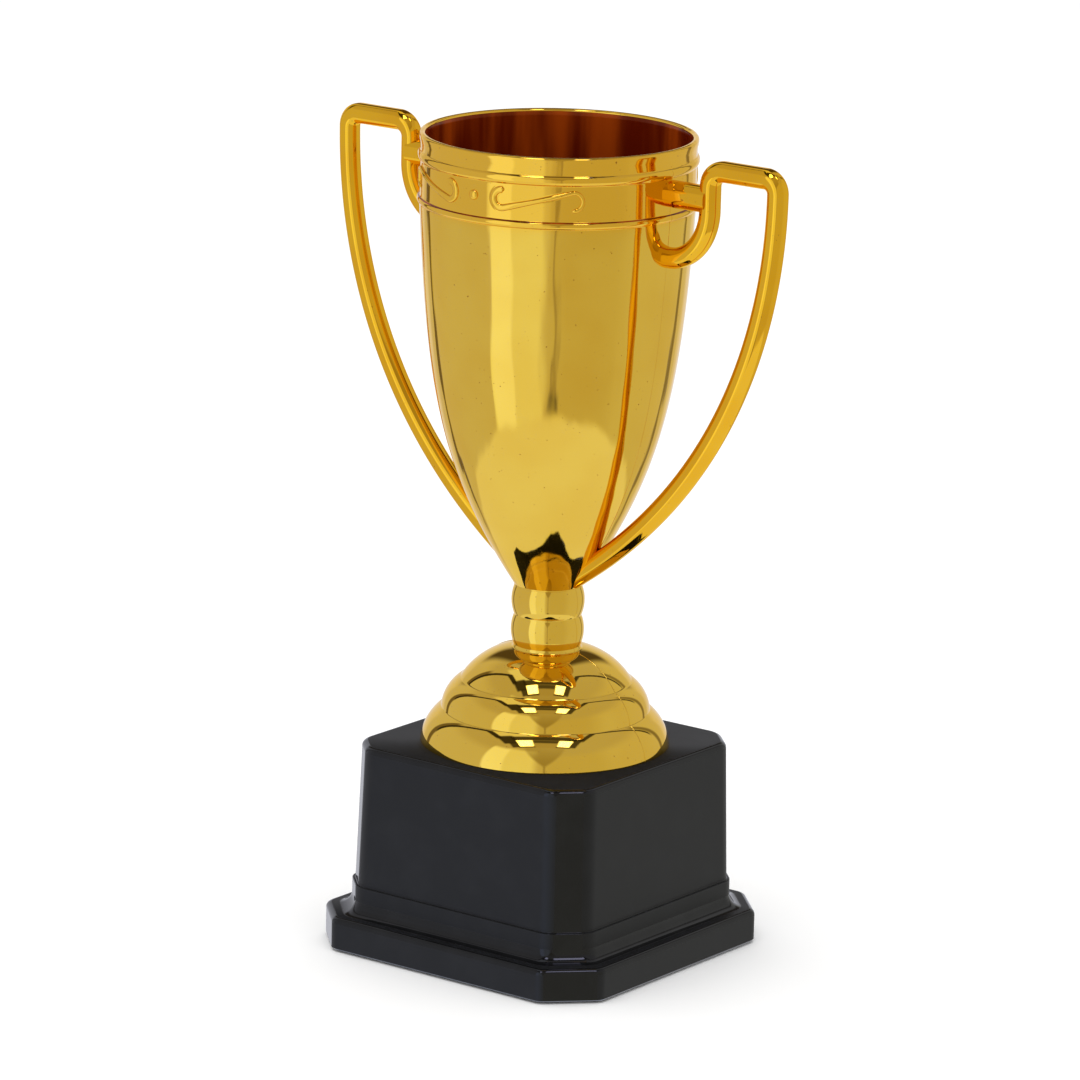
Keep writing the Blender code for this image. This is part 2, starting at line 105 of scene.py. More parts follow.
class Graph:
    """The node tree of a material or of the world."""

    def __init__(self, tree: bpy.types.NodeTree) -> None:
        """Starts from an empty tree.

        Args:
            tree: The node tree to fill.
        """
        self.tree = tree
        tree.nodes.clear()

    def node(
        self,
        kind: str,
        settings: Optional[Mapping[str, object]] = None,
        inputs: Optional[Mapping[Union[str, int], object]] = None,
    ) -> bpy.types.Node:
        """Adds one node.

        Args:
            kind: The node's type.
            settings: The node's own properties, set before its sockets.
            inputs: Values or signals by socket name or index.

        Returns:
            The node.
        """
        made = self.tree.nodes.new(kind)
        for key, value in (settings or {}).items():
            setattr(made, key, value)
        for key, value in (inputs or {}).items():
            if isinstance(value, Signal):
                self.tree.links.new(value.socket, made.inputs[key])
            else:
                made.inputs[key].default_value = value
        return made

    def take(
        self,
        kind: str,
        output: Union[str, int] = 0,
        settings: Optional[Mapping[str, object]] = None,
        inputs: Optional[Mapping[Union[str, int], object]] = None,
    ) -> Signal:
        """Adds one node and returns one of its outputs.

        Args:
            kind: The node's type.
            output: Name or index of the output.
            settings: As in node().
            inputs: As in node().

        Returns:
            The output as a signal.
        """
        return Signal(self, self.node(kind, settings, inputs).outputs[output])

    def maths(self, operation: str, *values: Value) -> Signal:
        """A Math node.

        Args:
            operation: Its operation.
            values: Its inputs in order.

        Returns:
            Its result.
        """
        return self.take("ShaderNodeMath", 0, {"operation": operation}, dict(enumerate(values)))

    def mix(self, share: Value, first: object, second: object) -> Signal:
        """Blends two colours.

        Args:
            share: How much of the second colour.
            first: Colour or signal at share 0.
            second: Colour or signal at share 1.

        Returns:
            The blended colour.
        """
        inputs = {0: share, 6: self._four(first), 7: self._four(second)}
        return self.take("ShaderNodeMix", 2, {"data_type": "RGBA"}, inputs)

    @staticmethod
    def _four(colour: object) -> object:
        """A colour with its alpha, or the signal itself."""
        return colour if isinstance(colour, Signal) else (*colour, 1.0)

    def ramp(
        self, value: Value, low: float, high: float, start: Value = 0.0, end: Value = 1.0
    ) -> Signal:
        """A smooth step.

        Args:
            value: What is mapped.
            low: Where the step starts.
            high: Where it ends.
            start: Result at low.
            end: Result at high.

        Returns:
            The mapped value.
        """
        inputs = {"Value": value, "From Min": low, "From Max": high, "To Min": start, "To Max": end}
        return self.take("ShaderNodeMapRange", "Result", {"interpolation_type": "SMOOTHSTEP"}, inputs)

    def window(self, value: Value, low: float, high: float, soft: float) -> Signal:
        """One between two limits and zero outside, with soft edges.

        Args:
            value: What is tested.
            low: Lower limit.
            high: Upper limit.
            soft: Half width of each edge.

        Returns:
            The mask.
        """
        rise = self.ramp(value, low - soft, low + soft)
        return rise * self.ramp(value, high - soft, high + soft, 1.0, 0.0)

    def noise(self, scale: float, stretch: Vector = Vector((1, 1, 1)), detail: float = 3.0) -> Signal:
        """Noise over the object, in its own metres.

        Args:
            scale: Features per metre.
            stretch: Factor on the scale along each axis.
            detail: Octaves.

        Returns:
            A value that averages a half.
        """
        inputs = {0: self.place(), 1: tuple(stretch * scale)}
        scaled = self.take("ShaderNodeVectorMath", 0, {"operation": "MULTIPLY"}, inputs)
        inputs = {"Vector": scaled, "Scale": 1.0, "Detail": detail}
        return self.take("ShaderNodeTexNoise", 0, None, inputs)

    def place(self) -> Signal:
        """The place on the object, in its own metres."""
        return self.take("ShaderNodeTexCoord", "Object")

    def parts(self, vector: Signal) -> list[Signal]:
        """The X, Y and Z of a vector."""
        axes = self.node("ShaderNodeSeparateXYZ", None, {0: vector}).outputs
        return [Signal(self, axis) for axis in axes]

    def relief(self, height: Value) -> Signal:
        """The normal of a surface raised by a height in metres."""
        inputs = {"Strength": 1.0, "Distance": 1.0, "Height": height}
        return self.take("ShaderNodeBump", 0, None, inputs)


# ---- finishes -----------------------------------------------------------------------------------


def surface(
    name: str, fixed: Mapping[str, object], varied: Callable[[Graph], Mapping[str, object]]
) -> bpy.types.Material:
    """A material of one Principled shader, made once under each name.

    Args:
        name: The material's name.
        fixed: Constants for the shader's own sockets.
        varied: Builds the sockets that change over the surface.

    Returns:
        The material.
    """
    known = bpy.data.materials.get(name)
    if known:
        return known
    made = bpy.data.materials.new(name)
    made.use_nodes = True
    graph = Graph(made.node_tree)
    shader = graph.node("ShaderNodeBsdfPrincipled", None, {**fixed, **varied(graph)})
    out = graph.node("ShaderNodeOutputMaterial")
    graph.tree.links.new(shader.outputs[0], out.inputs["Surface"])
    return made


@dataclass(frozen=True)
class MetallisedGold:
    """Vacuum-metallised plastic under yellow lacquer: mirror bright, with faint waves."""

    name: str = "bright_gold"
    colour: Colour = (0.805, 0.515, 0.056)
    deep_colour: Colour = (0.775, 0.475, 0.044)
    speck: Colour = (0.33, 0.13, 0.01)
    edge_tint: Colour = (1.0, 0.86, 0.52)
    roughness: float = 0.010
    roughness_spread: float = 0.012
    patch_scale: float = 55.0
    haze_scale: float = 900.0
    speck_scale: float = 1700.0
    speck_roughness: float = 0.3
    wave_scale: float = 95.0
    wave_stretch: float = 0.3
    wave_height: float = 0.00002
    ripple_scale: float = 330.0
    ripple_stretch: float = 0.35
    ripple_height: float = 0.000003
    grain_scale: float = 5200.0
    grain_height: float = 0.000001
    lacquer: float = 0.3
    lacquer_roughness: float = 0.012
    warm_above: Optional[float] = None
    warm_colour: Colour = (0.82, 0.46, 0.030)
    warm_share: float = 0.8
    warm_blend: float = 0.001

    def material(self) -> bpy.types.Material:
        """The finish as a material."""
        fixed = {
            "Metallic": 1.0,
            "Specular Tint": (*self.edge_tint, 1.0),
            "Coat Weight": self.lacquer,
            "Coat Roughness": self.lacquer_roughness,
            "Coat IOR": 1.5,
        }
        return surface(self.name, fixed, self._varied)

    def _varied(self, graph: Graph) -> Mapping[str, object]:
        """Colour, roughness and relief that change over the surface."""
        patches = graph.ramp(graph.noise(self.patch_scale, detail=2), 0.35, 0.7)
        haze = graph.noise(self.haze_scale, detail=4)
        specks = graph.ramp(graph.noise(self.speck_scale, detail=1), 0.765, 0.785)
        waves = graph.noise(self.wave_scale, Vector((1, 1, self.wave_stretch)), 1.0)
        ripple = graph.noise(self.ripple_scale, Vector((1, 1, self.ripple_stretch)), 1.0)
        grain = graph.noise(self.grain_scale, detail=2)
        height = waves * self.wave_height + ripple * self.ripple_height + grain * self.grain_height
        colour = graph.mix(patches, self.colour, self.deep_colour)
        if self.warm_above is not None:
            level = graph.parts(graph.place())[2]
            low, high = self.warm_above - self.warm_blend, self.warm_above + self.warm_blend
            warm = graph.ramp(level, low, high, 0.0, self.warm_share)
            colour = graph.mix(warm, colour, self.warm_colour)
        return {
            "Base Color": graph.mix(specks, colour, self.speck),
            "Roughness": haze * self.roughness_spread + specks * self.speck_roughness + self.roughness,
            "Normal": graph.relief(height),
        }


@dataclass(frozen=True)
class AmberInside:
    """The inside of the cup: lacquered plastic shows through thin metal in dark red-brown streaks; the
    lighter streaks in its colour are painted reflection.
    """

    name: str = "amber_inside"
    dark: Colour = (0.10, 0.006, 0.0003)
    # lighter streak colour: painted reflection
    light: Colour = (0.32, 0.045, 0.002)
    tint: Colour = (1.0, 0.45, 0.2)
    shine: float = 0.25
    roughness: float = 0.10
    roughness_spread: float = 0.15
    streak_scale: float = 120.0
    streak_stretch: float = 0.1
    streak_height: float = 0.0002

    def material(self) -> bpy.types.Material:
        """The finish as a material."""
        fixed = {"Specular IOR Level": self.shine, "Specular Tint": (*self.tint, 1.0)}
        return surface(self.name, fixed, self._varied)

    def _varied(self, graph: Graph) -> Mapping[str, object]:
        """Colour, roughness and relief that change over the surface."""
        streaks = graph.noise(self.streak_scale, Vector((1, 1, self.streak_stretch)), 3.0)
        return {
            # painted reflection: the lighter streaks in the base colour stand in for reflections; the
            # same streaks also give real roughness and relief
            "Base Color": graph.mix(graph.ramp(streaks, 0.42, 0.68), self.dark, self.light),
            "Roughness": streaks * self.roughness_spread + self.roughness,
            "Normal": graph.relief(streaks * self.streak_height),
        }


@dataclass(frozen=True)
class MouldedPlastic:
    """Moulded plastic with a fine skin, dust-fine haze and a few rubbed patches."""

    name: str
    colour: Colour
    roughness: float
    roughness_spread: float
    shine: float
    edge_roughness: Optional[float] = None
    grain_scale: float = 2600
    grain_height: float = 0.000002
    haze_scale: float = 140
    wave_scale: float = 42
    wave_height: float = 0.00002
    worn_roughness: float = 0.5

    def material(self) -> bpy.types.Material:
        """The finish as a material."""
        return surface(self.name, {"Specular IOR Level": self.shine}, self._varied)

    def _varied(self, graph: Graph) -> Mapping[str, object]:
        """Colour, roughness and relief that change over the surface."""
        haze = graph.noise(self.haze_scale, detail=5)
        grain = graph.noise(self.grain_scale, detail=3)
        waves = graph.noise(self.wave_scale, detail=1)
        light = tuple(channel * 1.5 + 0.001 for channel in self.colour)
        roughness = haze * self.roughness_spread + self.roughness
        if self.edge_roughness is not None:
            x, y, level = (graph.maths("ABSOLUTE", axis) for axis in self._facing(graph))
            polish = self._polish(graph, graph.maths("MAXIMUM", x, y), level)
            roughness = graph.ramp(polish, 0, 1, roughness, self.edge_roughness)
            roughness = roughness + self._worn(graph, level) * self.worn_roughness
        return {
            "Base Color": graph.mix(graph.ramp(haze, 0.4, 0.75), self.colour, light),
            "Roughness": roughness,
            "Normal": graph.relief(waves * self.wave_height + grain * self.grain_height),
        }

    @staticmethod
    def _facing(graph: Graph) -> list[Signal]:
        """How far the surface faces along X, Y and Z."""
        return graph.parts(graph.take("ShaderNodeNewGeometry", "Normal"))

    @staticmethod
    def _polish(graph: Graph, sideways: Signal, level: Signal) -> Signal:
        """The cut corners and the rounded edges of the level faces, where the mould is polished.

        Args:
            graph: The material's graph.
            sideways: How far the surface faces along X or Y.
            level: How far it faces up or down.

        Returns:
            One where it is polished.
        """
        rounded = graph.window(level, 0.1, 0.98, 0.02)
        corner = graph.ramp(sideways, 0.74, 0.8, 1.0, 0.0) * graph.ramp(level, 0.9, 0.96, 1.0, 0.0)
        return graph.maths("MAXIMUM", rounded, corner)

    @staticmethod
    def _worn(graph: Graph, level: Signal) -> Signal:
        """One on the front half of the level faces, rubbed matt."""
        x, y, _ = graph.parts(graph.place())
        return graph.ramp(x * 0.6 - y * 0.8, 0.0, 0.02) * graph.ramp(level, 0.985, 0.998)


@dataclass(frozen=True)
class PlatedSteel:
    """Zinc-plated steel with the mottled bloom of the plating and fine turning marks."""

    name: str = "zinc_plating"
    colour: Colour = (0.60, 0.60, 0.59)
    bloom: Colour = (0.50, 0.49, 0.44)
    roughness: float = 0.22
    roughness_spread: float = 0.2
    bloom_scale: float = 700
    mark_scale: float = 900
    mark_stretch: float = 9
    mark_height: float = 0.000006

    def material(self) -> bpy.types.Material:
        """The finish as a material."""
        return surface(self.name, {"Metallic": 1.0}, self._varied)

    def _varied(self, graph: Graph) -> Mapping[str, object]:
        """Colour, roughness and relief that change over the surface."""
        bloom = graph.noise(self.bloom_scale, detail=4)
        marks = graph.noise(self.mark_scale, Vector((1, 1, self.mark_stretch)), 2)
        return {
            "Base Color": graph.mix(graph.ramp(bloom, 0.35, 0.65), self.colour, self.bloom),
            "Roughness": bloom * self.roughness_spread + self.roughness,
            "Normal": graph.relief(marks * self.mark_height),
        }


@dataclass(frozen=True)
class RoughCast:
    """Cast cement or rubber: matt, pitted and speckled."""

    name: str
    colour: Colour
    fleck: Colour
    roughness: float
    pit_scale: float
    pit_depth: float
    roughness_spread: float = 0.2
    shine: float = 0.3

    def material(self) -> bpy.types.Material:
        """The finish as a material."""
        return surface(self.name, {"Specular IOR Level": self.shine}, self._varied)

    def _varied(self, graph: Graph) -> Mapping[str, object]:
        """Colour, roughness and relief that change over the surface."""
        pits = graph.noise(self.pit_scale, detail=5)
        return {
            "Base Color": graph.mix(graph.ramp(pits, 0.45, 0.7), self.colour, self.fleck),
            "Roughness": pits * self.roughness_spread + self.roughness,
            "Normal": graph.relief(graph.ramp(pits, 0.3, 0.6) * self.pit_depth),
        }


GOLD = MetallisedGold()
BOWL_GOLD = MetallisedGold(
    name="streaked_gold",
    roughness=0.03,
    roughness_spread=0.04,
    wave_scale=230.0,
    wave_stretch=0.11,
    wave_height=0.00017,
    ripple_scale=90.0,
    ripple_height=0.00010,
    warm_above=0.1735,
)
HANDLE_GOLD = MetallisedGold(
    name="deep_gold",
    colour=(0.85, 0.465, 0.018),
    deep_colour=(0.82, 0.42, 0.014),
    edge_tint=(1.0, 0.84, 0.45),
    lacquer=0.12,
)
INSIDE = AmberInside()
BLACK = MouldedPlastic("gloss_black", (0.0030, 0.0031, 0.0034), 0.40, 0.08, 0.3, 0.07)
COVER = MouldedPlastic("satin_black", (0.014, 0.014, 0.015), 0.48, 0.2, 0.4, None, 1400, 0.000012)
STEEL = PlatedSteel()
RUBBER = RoughCast("soft_rubber", (0.022, 0.022, 0.022), (0.05, 0.05, 0.05), 0.7, 1800, 0.00004)
CEMENT = RoughCast("cement", (0.42, 0.41, 0.39), (0.22, 0.21, 0.20), 0.8, 420, 0.0003)


# ---- outlines -----------------------------------------------------------------------------------


def arc(centre: Point2, radius: float, start: float, end: float, steps: int) -> list[Point2]:
    """Points on an arc.

    Args:
        centre: The arc's centre.
        radius: Its radius.
        start: First angle, in degrees from the first axis towards the second.
        end: Last angle.
        steps: Number of chords.

    Returns:
        The points, both ends included.
    """
    angles = [math.radians(start + (end - start) * i / steps) for i in range(steps + 1)]
    return [(centre[0] + radius * math.cos(a), centre[1] + radius * math.sin(a)) for a in angles]


def bulge(start: Point2, end: Point2, rise: float, steps: int) -> list[Point2]:
    """Points on the arc from start to end that bows to its right.

    Args:
        start: First point.
        end: Last point.
        rise: Height of the bow over its chord.
        steps: Number of chords.

    Returns:
        The points, both ends included.
    """
    a, b = Vector(start), Vector(end)
    along = b - a
    forward = along.normalized()
    right = Vector((forward.y, -forward.x))
    radius = along.length**2 / (8 * rise) + rise / 2
    centre = (a + b) / 2 + right * (rise - radius)
    half = math.asin(along.length / (2 * radius))
    turns = [half - 2 * half * i / steps for i in range(steps + 1)]
    return [tuple(centre + radius * (right * math.cos(t) - forward * math.sin(t))) for t in turns]


def bezier(points: Sequence[Point2], steps: int) -> list[Point2]:
    """Points on a cubic Bezier curve.

    Args:
        points: The four control points.
        steps: Number of chords.

    Returns:
        The points, both ends included.
    """
    made = []
    for i in range(steps + 1):
        t = i / steps
        weights = ((1 - t) ** 3, 3 * t * (1 - t) ** 2, 3 * t * t * (1 - t), t**3)
        made.append(tuple(sum(w * p[k] for w, p in zip(weights, points)) for k in range(2)))
    return made


def eased(outline: Sequence[Point2], corner: int, reach: float, steps: int = 6) -> list[Point2]:
    """Replaces one corner of an outline with a short curve.

    Args:
        outline: The points.
        corner: Index of the corner.
        reach: How far along each side the curve starts.
        steps: Number of chords in the curve.

    Returns:
        The outline with the corner eased.
    """
    before, sharp, after = (Vector(outline[corner + k]) for k in (-1, 0, 1))
    start = sharp + (before - sharp).normalized() * min(reach, (before - sharp).length * 0.9)
    end = sharp + (after - sharp).normalized() * min(reach, (after - sharp).length * 0.9)
    curve = []
    for i in range(steps + 1):
        t = i / steps
        curve.append(tuple((1 - t) ** 2 * start + 2 * t * (1 - t) * sharp + t * t * end))
    return list(outline[:corner]) + curve + list(outline[corner + 1 :])


def smooth(share: float) -> float:
    """A step from zero to one with soft ends."""
    share = min(max(share, 0.0), 1.0)
    return share * share * (3 - 2 * share)


def resampled(points: Sequence[Point2], spacing: float) -> list[Vector]:
    """Evenly spaced points along a polyline.

    Args:
        points: The polyline.
        spacing: Distance wanted between points.

    Returns:
        The new points, both ends included.
    """
    knots = [Vector(p) for p in points]
    lengths = [0.0]
    for a, b in zip(knots, knots[1:]):
        lengths.append(lengths[-1] + (b - a).length)
    count = max(2, round(lengths[-1] / spacing))
    made, k = [], 0
    for i in range(count + 1):
        want = lengths[-1] * i / count
        while k < len(knots) - 2 and lengths[k + 1] < want:
            k += 1
        made.append(knots[k].lerp(knots[k + 1], (want - lengths[k]) / (lengths[k + 1] - lengths[k])))
    return made


def heading(line: Sequence[Vector], place: int) -> Vector:
    """The direction of a line of points at one of them."""
    return (line[min(place + 1, len(line) - 1)] - line[max(place - 1, 0)]).normalized()


# ---- meshes -------------------------------------------------------------------------------------


class Operation(Enum):
    """How one solid acts on another."""

    CUT = "DIFFERENCE"
    JOIN = "UNION"


def mesh_object(
    name: str, verts: Sequence[Sequence[float]], faces: Sequence[Sequence[int]]
) -> bpy.types.Object:
    """A smooth-shaded object that keeps its sharp creases.

    Args:
        name: The object's name.
        verts: Vertex positions.
        faces: Vertex indices of each face, facing out.

    Returns:
        The object, linked to the scene.
    """
    mesh = bpy.data.meshes.new(name)
    mesh.from_pydata([tuple(v) for v in verts], [], [tuple(f) for f in faces])
    mesh.update()
    mesh.shade_smooth()
    mesh.set_sharp_from_angle(angle=SHARP_ANGLE)
    made = bpy.data.objects.new(name, mesh)
    bpy.context.scene.collection.objects.link(made)
    return made


def revolved(
    name: str,
    outline: Sequence[Point2],
    steps: int = ROUND_STEPS,
    centre: Point2 = (0.0, 0.0),
    shape: Optional[Shape] = None,
) -> bpy.types.Object:
    """A solid spun round an upright axis.

    Args:
        name: The object's name.
        outline: Closed (radius, height) outline, anticlockwise; points on the axis are merged.
        steps: Number of segments round.
        centre: Where the axis stands.
        shape: Radius for a given (radius, height, angle), or None for a plain turning.

    Returns:
        The object.
    """
    verts: list[tuple[float, float, float]] = []
    rings: list[list[int]] = []
    for radius, height in outline:
        first = len(verts)
        if radius < 1e-7:
            verts.append((centre[0], centre[1], height))
            rings.append([first] * steps)
            continue
        for j in range(steps):
            angle = math.tau * j / steps
            reach = shape(radius, height, angle) if shape else radius
            x, y = centre[0] + reach * math.cos(angle), centre[1] + reach * math.sin(angle)
            verts.append((x, y, height))
        rings.append(list(range(first, first + steps)))
    faces = []
    for low, high in zip(rings, rings[1:] + rings[:1]):
        for j in range(steps):
            k = (j + 1) % steps
            corners = list(dict.fromkeys((low[j], low[k], high[k], high[j])))
            if len(corners) > 2:
                faces.append(corners)
    return mesh_object(name, verts, faces)


def skinned(name: str, rings: Sequence[Sequence[Vector]]) -> bpy.types.Object:
    """A closed solid through rings of equal count, with flat ends.

    Args:
        name: The object's name.
        rings: The rings in order, each anticlockwise when seen against the direction of travel.

    Returns:
        The object.
    """
    count = len(rings[0])
    verts = [v for ring in rings for v in ring]
    faces: list[list[int]] = []
    for i in range(len(rings) - 1):
        for j in range(count):
            k = (j + 1) % count
            faces.append([i * count + j, i * count + k, (i + 1) * count + k, (i + 1) * count + j])
    faces.append(list(range(count))[::-1])
    faces.append([(len(rings) - 1) * count + j for j in range(count)])
    return mesh_object(name, verts, faces)


def combined(
    target: bpy.types.Object, tool: bpy.types.Object, operation: Operation
) -> bpy.types.Object:
    """Cuts a tool out of a target, or joins it on, and removes the tool.

    Args:
        target: The solid that stays.
        tool: The solid that acts on it.
        operation: Cut or join.

    Returns:
        The target.
    """
    modifier = target.modifiers.new("combine", "BOOLEAN")
    modifier.operation = operation.value
    modifier.solver = "EXACT"
    modifier.object = tool
    bpy.context.view_layer.update()
    graph = bpy.context.evaluated_depsgraph_get()
    mesh = bpy.data.meshes.new_from_object(target.evaluated_get(graph))
    target.modifiers.clear()
    old = target.data
    target.data = mesh
    bpy.data.meshes.remove(old)
    bpy.data.objects.remove(tool)
    mesh.set_sharp_from_angle(angle=SHARP_ANGLE)
    return target


def weighted(piece: bpy.types.Object) -> bpy.types.Object:
    """Keeps the flats of a piece flat where they meet its rounded edges."""
    modifier = piece.modifiers.new("flat_faces", "WEIGHTED_NORMAL")
    modifier.keep_sharp = True
    return piece


def fitted(piece: bpy.types.Object, finish: object, slot: str, *nodes: str) -> bpy.types.Object:
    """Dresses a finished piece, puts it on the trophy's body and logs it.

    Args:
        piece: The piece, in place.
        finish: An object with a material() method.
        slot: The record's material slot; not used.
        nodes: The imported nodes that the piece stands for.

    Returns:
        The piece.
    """
    piece.data.materials.clear()
    piece.data.materials.append(finish.material())
    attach(piece, BODY)
    if nodes:
        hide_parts(*nodes)
    LOG.info("%s: %d faces", piece.name, len(piece.data.polygons))
    return piece


# ---- bowl ---------------------------------------------------------------------------------------


@dataclass
class Bowl:
    """The cup: thin wall, two beads and a rolled lip, with scrolls between the beads."""

    wall: float = 0.00135
    floor: float = 0.0065
    seat_radius: float = 0.00794
    band_radius: float = 0.0313
    rim_radius: float = 0.0316
    spigot_radius: float = 0.0039
    spigot_length: float = 0.0016
    bore_radius: float = 0.0023
    upper_bead: float = 0.0052
    lower_bead: float = 0.0153
    upper_bead_height: float = 0.0023
    lower_bead_height: float = 0.0017
    bead_proud: float = 0.0006
    bead_margin: float = 0.0006
    bead_ease: float = 0.00022
    belly_low: Point2 = (0.0175, 0.0265)  # out from the seat and up
    belly_high: Point2 = (0.0023, 0.0455)  # in from the band and up
    neck: float = 0.00008
    lip_height: float = 0.0022
    lip_round: float = 0.00070
    flare: float = 0.00020
    flare_height: float = 0.0016
    floor_fillet: float = 0.0012
    amber_from: float = 0.0006  # from the lip down to where the inside finish starts
    amber_to: float = 0.001  # from the bottom up to where it ends

    def __post_init__(self) -> None:
        """Takes the bowl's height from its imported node."""
        low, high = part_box("bowl")
        self.bottom = low.z + self.spigot_length
        self.top = high.z

    def outside(self, offset: float = 0.0) -> list[Point2]:
        """The outer outline from the seat to the lip.

        Args:
            offset: How far it is grown.

        Returns:
            (radius, height) points, bottom to top.
        """
        beads: list[Point2] = []
        for middle, height in (
            (self.lower_bead, self.lower_bead_height),
            (self.upper_bead, self.upper_bead_height),
        ):
            low, high = self.top - middle - height / 2, self.top - middle + height / 2
            ring = [(self.band_radius, low - self.bead_margin)]
            ring += bulge((self.band_radius, low), (self.band_radius, high), self.bead_proud, 14)
            ring += [(self.band_radius, high + self.bead_margin)]
            ring = eased(ring, len(ring) - 2, self.bead_ease, 4)
            beads += eased(ring, 1, self.bead_ease, 4)
        seat = (self.seat_radius, self.bottom)
        low_pull = (self.seat_radius + self.belly_low[0], self.bottom + self.belly_low[1])
        high_pull = (self.band_radius - self.belly_high[0], self.bottom + self.belly_high[1])
        wall = bezier((seat, low_pull, high_pull, beads[0]), 96)
        return [(r + offset, z) for r, z in wall[:-1] + beads]

    def radius_at(self, height: float) -> float:
        """The outer radius at a height, beads included."""
        outline = self.outside()
        for (r0, z0), (r1, z1) in zip(outline, outline[1:]):
            if z0 <= height <= z1 and z1 > z0:
                return r0 + (r1 - r0) * (height - z0) / (z1 - z0)
        return self.band_radius

    def _lip(self) -> list[Point2]:
        """The lip from its outer to its inner side, with a small land on top."""
        outer, inner = self.rim_radius, self.band_radius - self.wall + self.flare
        high = self.top - self.lip_round
        over = arc((outer - self.lip_round, high), self.lip_round, 0, 90, 8)
        under = arc((inner + self.lip_round, high), self.lip_round, 90, 180, 8)
        foot = (self.band_radius + self.neck, self.top - self.lip_height)
        return [foot, (outer, self.top - self.lip_height / 2)] + over + under

    def _inside(self) -> list[Point2]:
        """The inner outline from under the lip down to the floor."""
        inner = self.band_radius - self.wall
        steps = 12
        flare = []
        for i in range(1, steps + 1):
            drop = self.lip_round + (self.flare_height - self.lip_round) * i / steps
            flare.append((inner + self.flare * (1 - i / steps) ** 1.6, self.top - drop))
        floor_top = self.bottom + self.floor
        band_low = self.top - self.lower_bead
        wall_low = floor_top + self.floor_fillet
        wall = [(r - self.wall, z) for r, z in self.outside() if wall_low < z < band_low]
        corner = (self.radius_at(floor_top) - self.wall, floor_top)
        curve = eased([wall[0], corner, (self.bore_radius, floor_top)], 1, self.floor_fillet, 6)[1:-1]
        return flare + [(inner, band_low)] + wall[::-1] + curve

    def shell(self) -> bpy.types.Object:
        """The bowl itself."""
        spigot = self.bottom - self.spigot_length
        seat = self.bottom - SEAM * 5
        outline = [(self.bore_radius, spigot), (self.spigot_radius, spigot), (self.spigot_radius, seat)]
        outline += [(self.seat_radius, seat)] + self.outside()
        outline += self._lip() + self._inside() + [(self.bore_radius, self.bottom + self.floor)]
        return revolved("bowl_shell", outline)

    def on_band(self, along: float, height: float) -> tuple[Vector, Vector]:
        """A point on the band and the direction out of it.

        Args:
            along: Distance round the band from the middle of the front.
            height: Height of the point.

        Returns:
            The point and its outward normal.
        """
        angle = along / self.band_radius - math.pi / 2
        out = Vector((math.cos(angle), math.sin(angle), 0.0))
        return out * self.band_radius + Vector((0, 0, height)), out

    def _is_inside(self, face: bpy.types.MeshPolygon) -> bool:
        """Whether a face of the shell looks into the cup, below the lip."""
        middle = face.center
        facing = face.normal.x * middle.x + face.normal.y * middle.y
        inward = facing < -0.1 * math.hypot(middle.x, middle.y) or face.normal.z > 0.7
        return inward and self.bottom + self.amber_to < middle.z < self.top - self.amber_from

    def build(self) -> None:
        """Makes the shell and its scrolls."""
        shell = fitted(self.shell(), BOWL_GOLD, "gold_plastic", "bowl")
        shell.data.materials.append(INSIDE.material())
        for face in shell.data.polygons:
            if self._is_inside(face):
                face.material_index = 1
        Scrollwork(self).build()


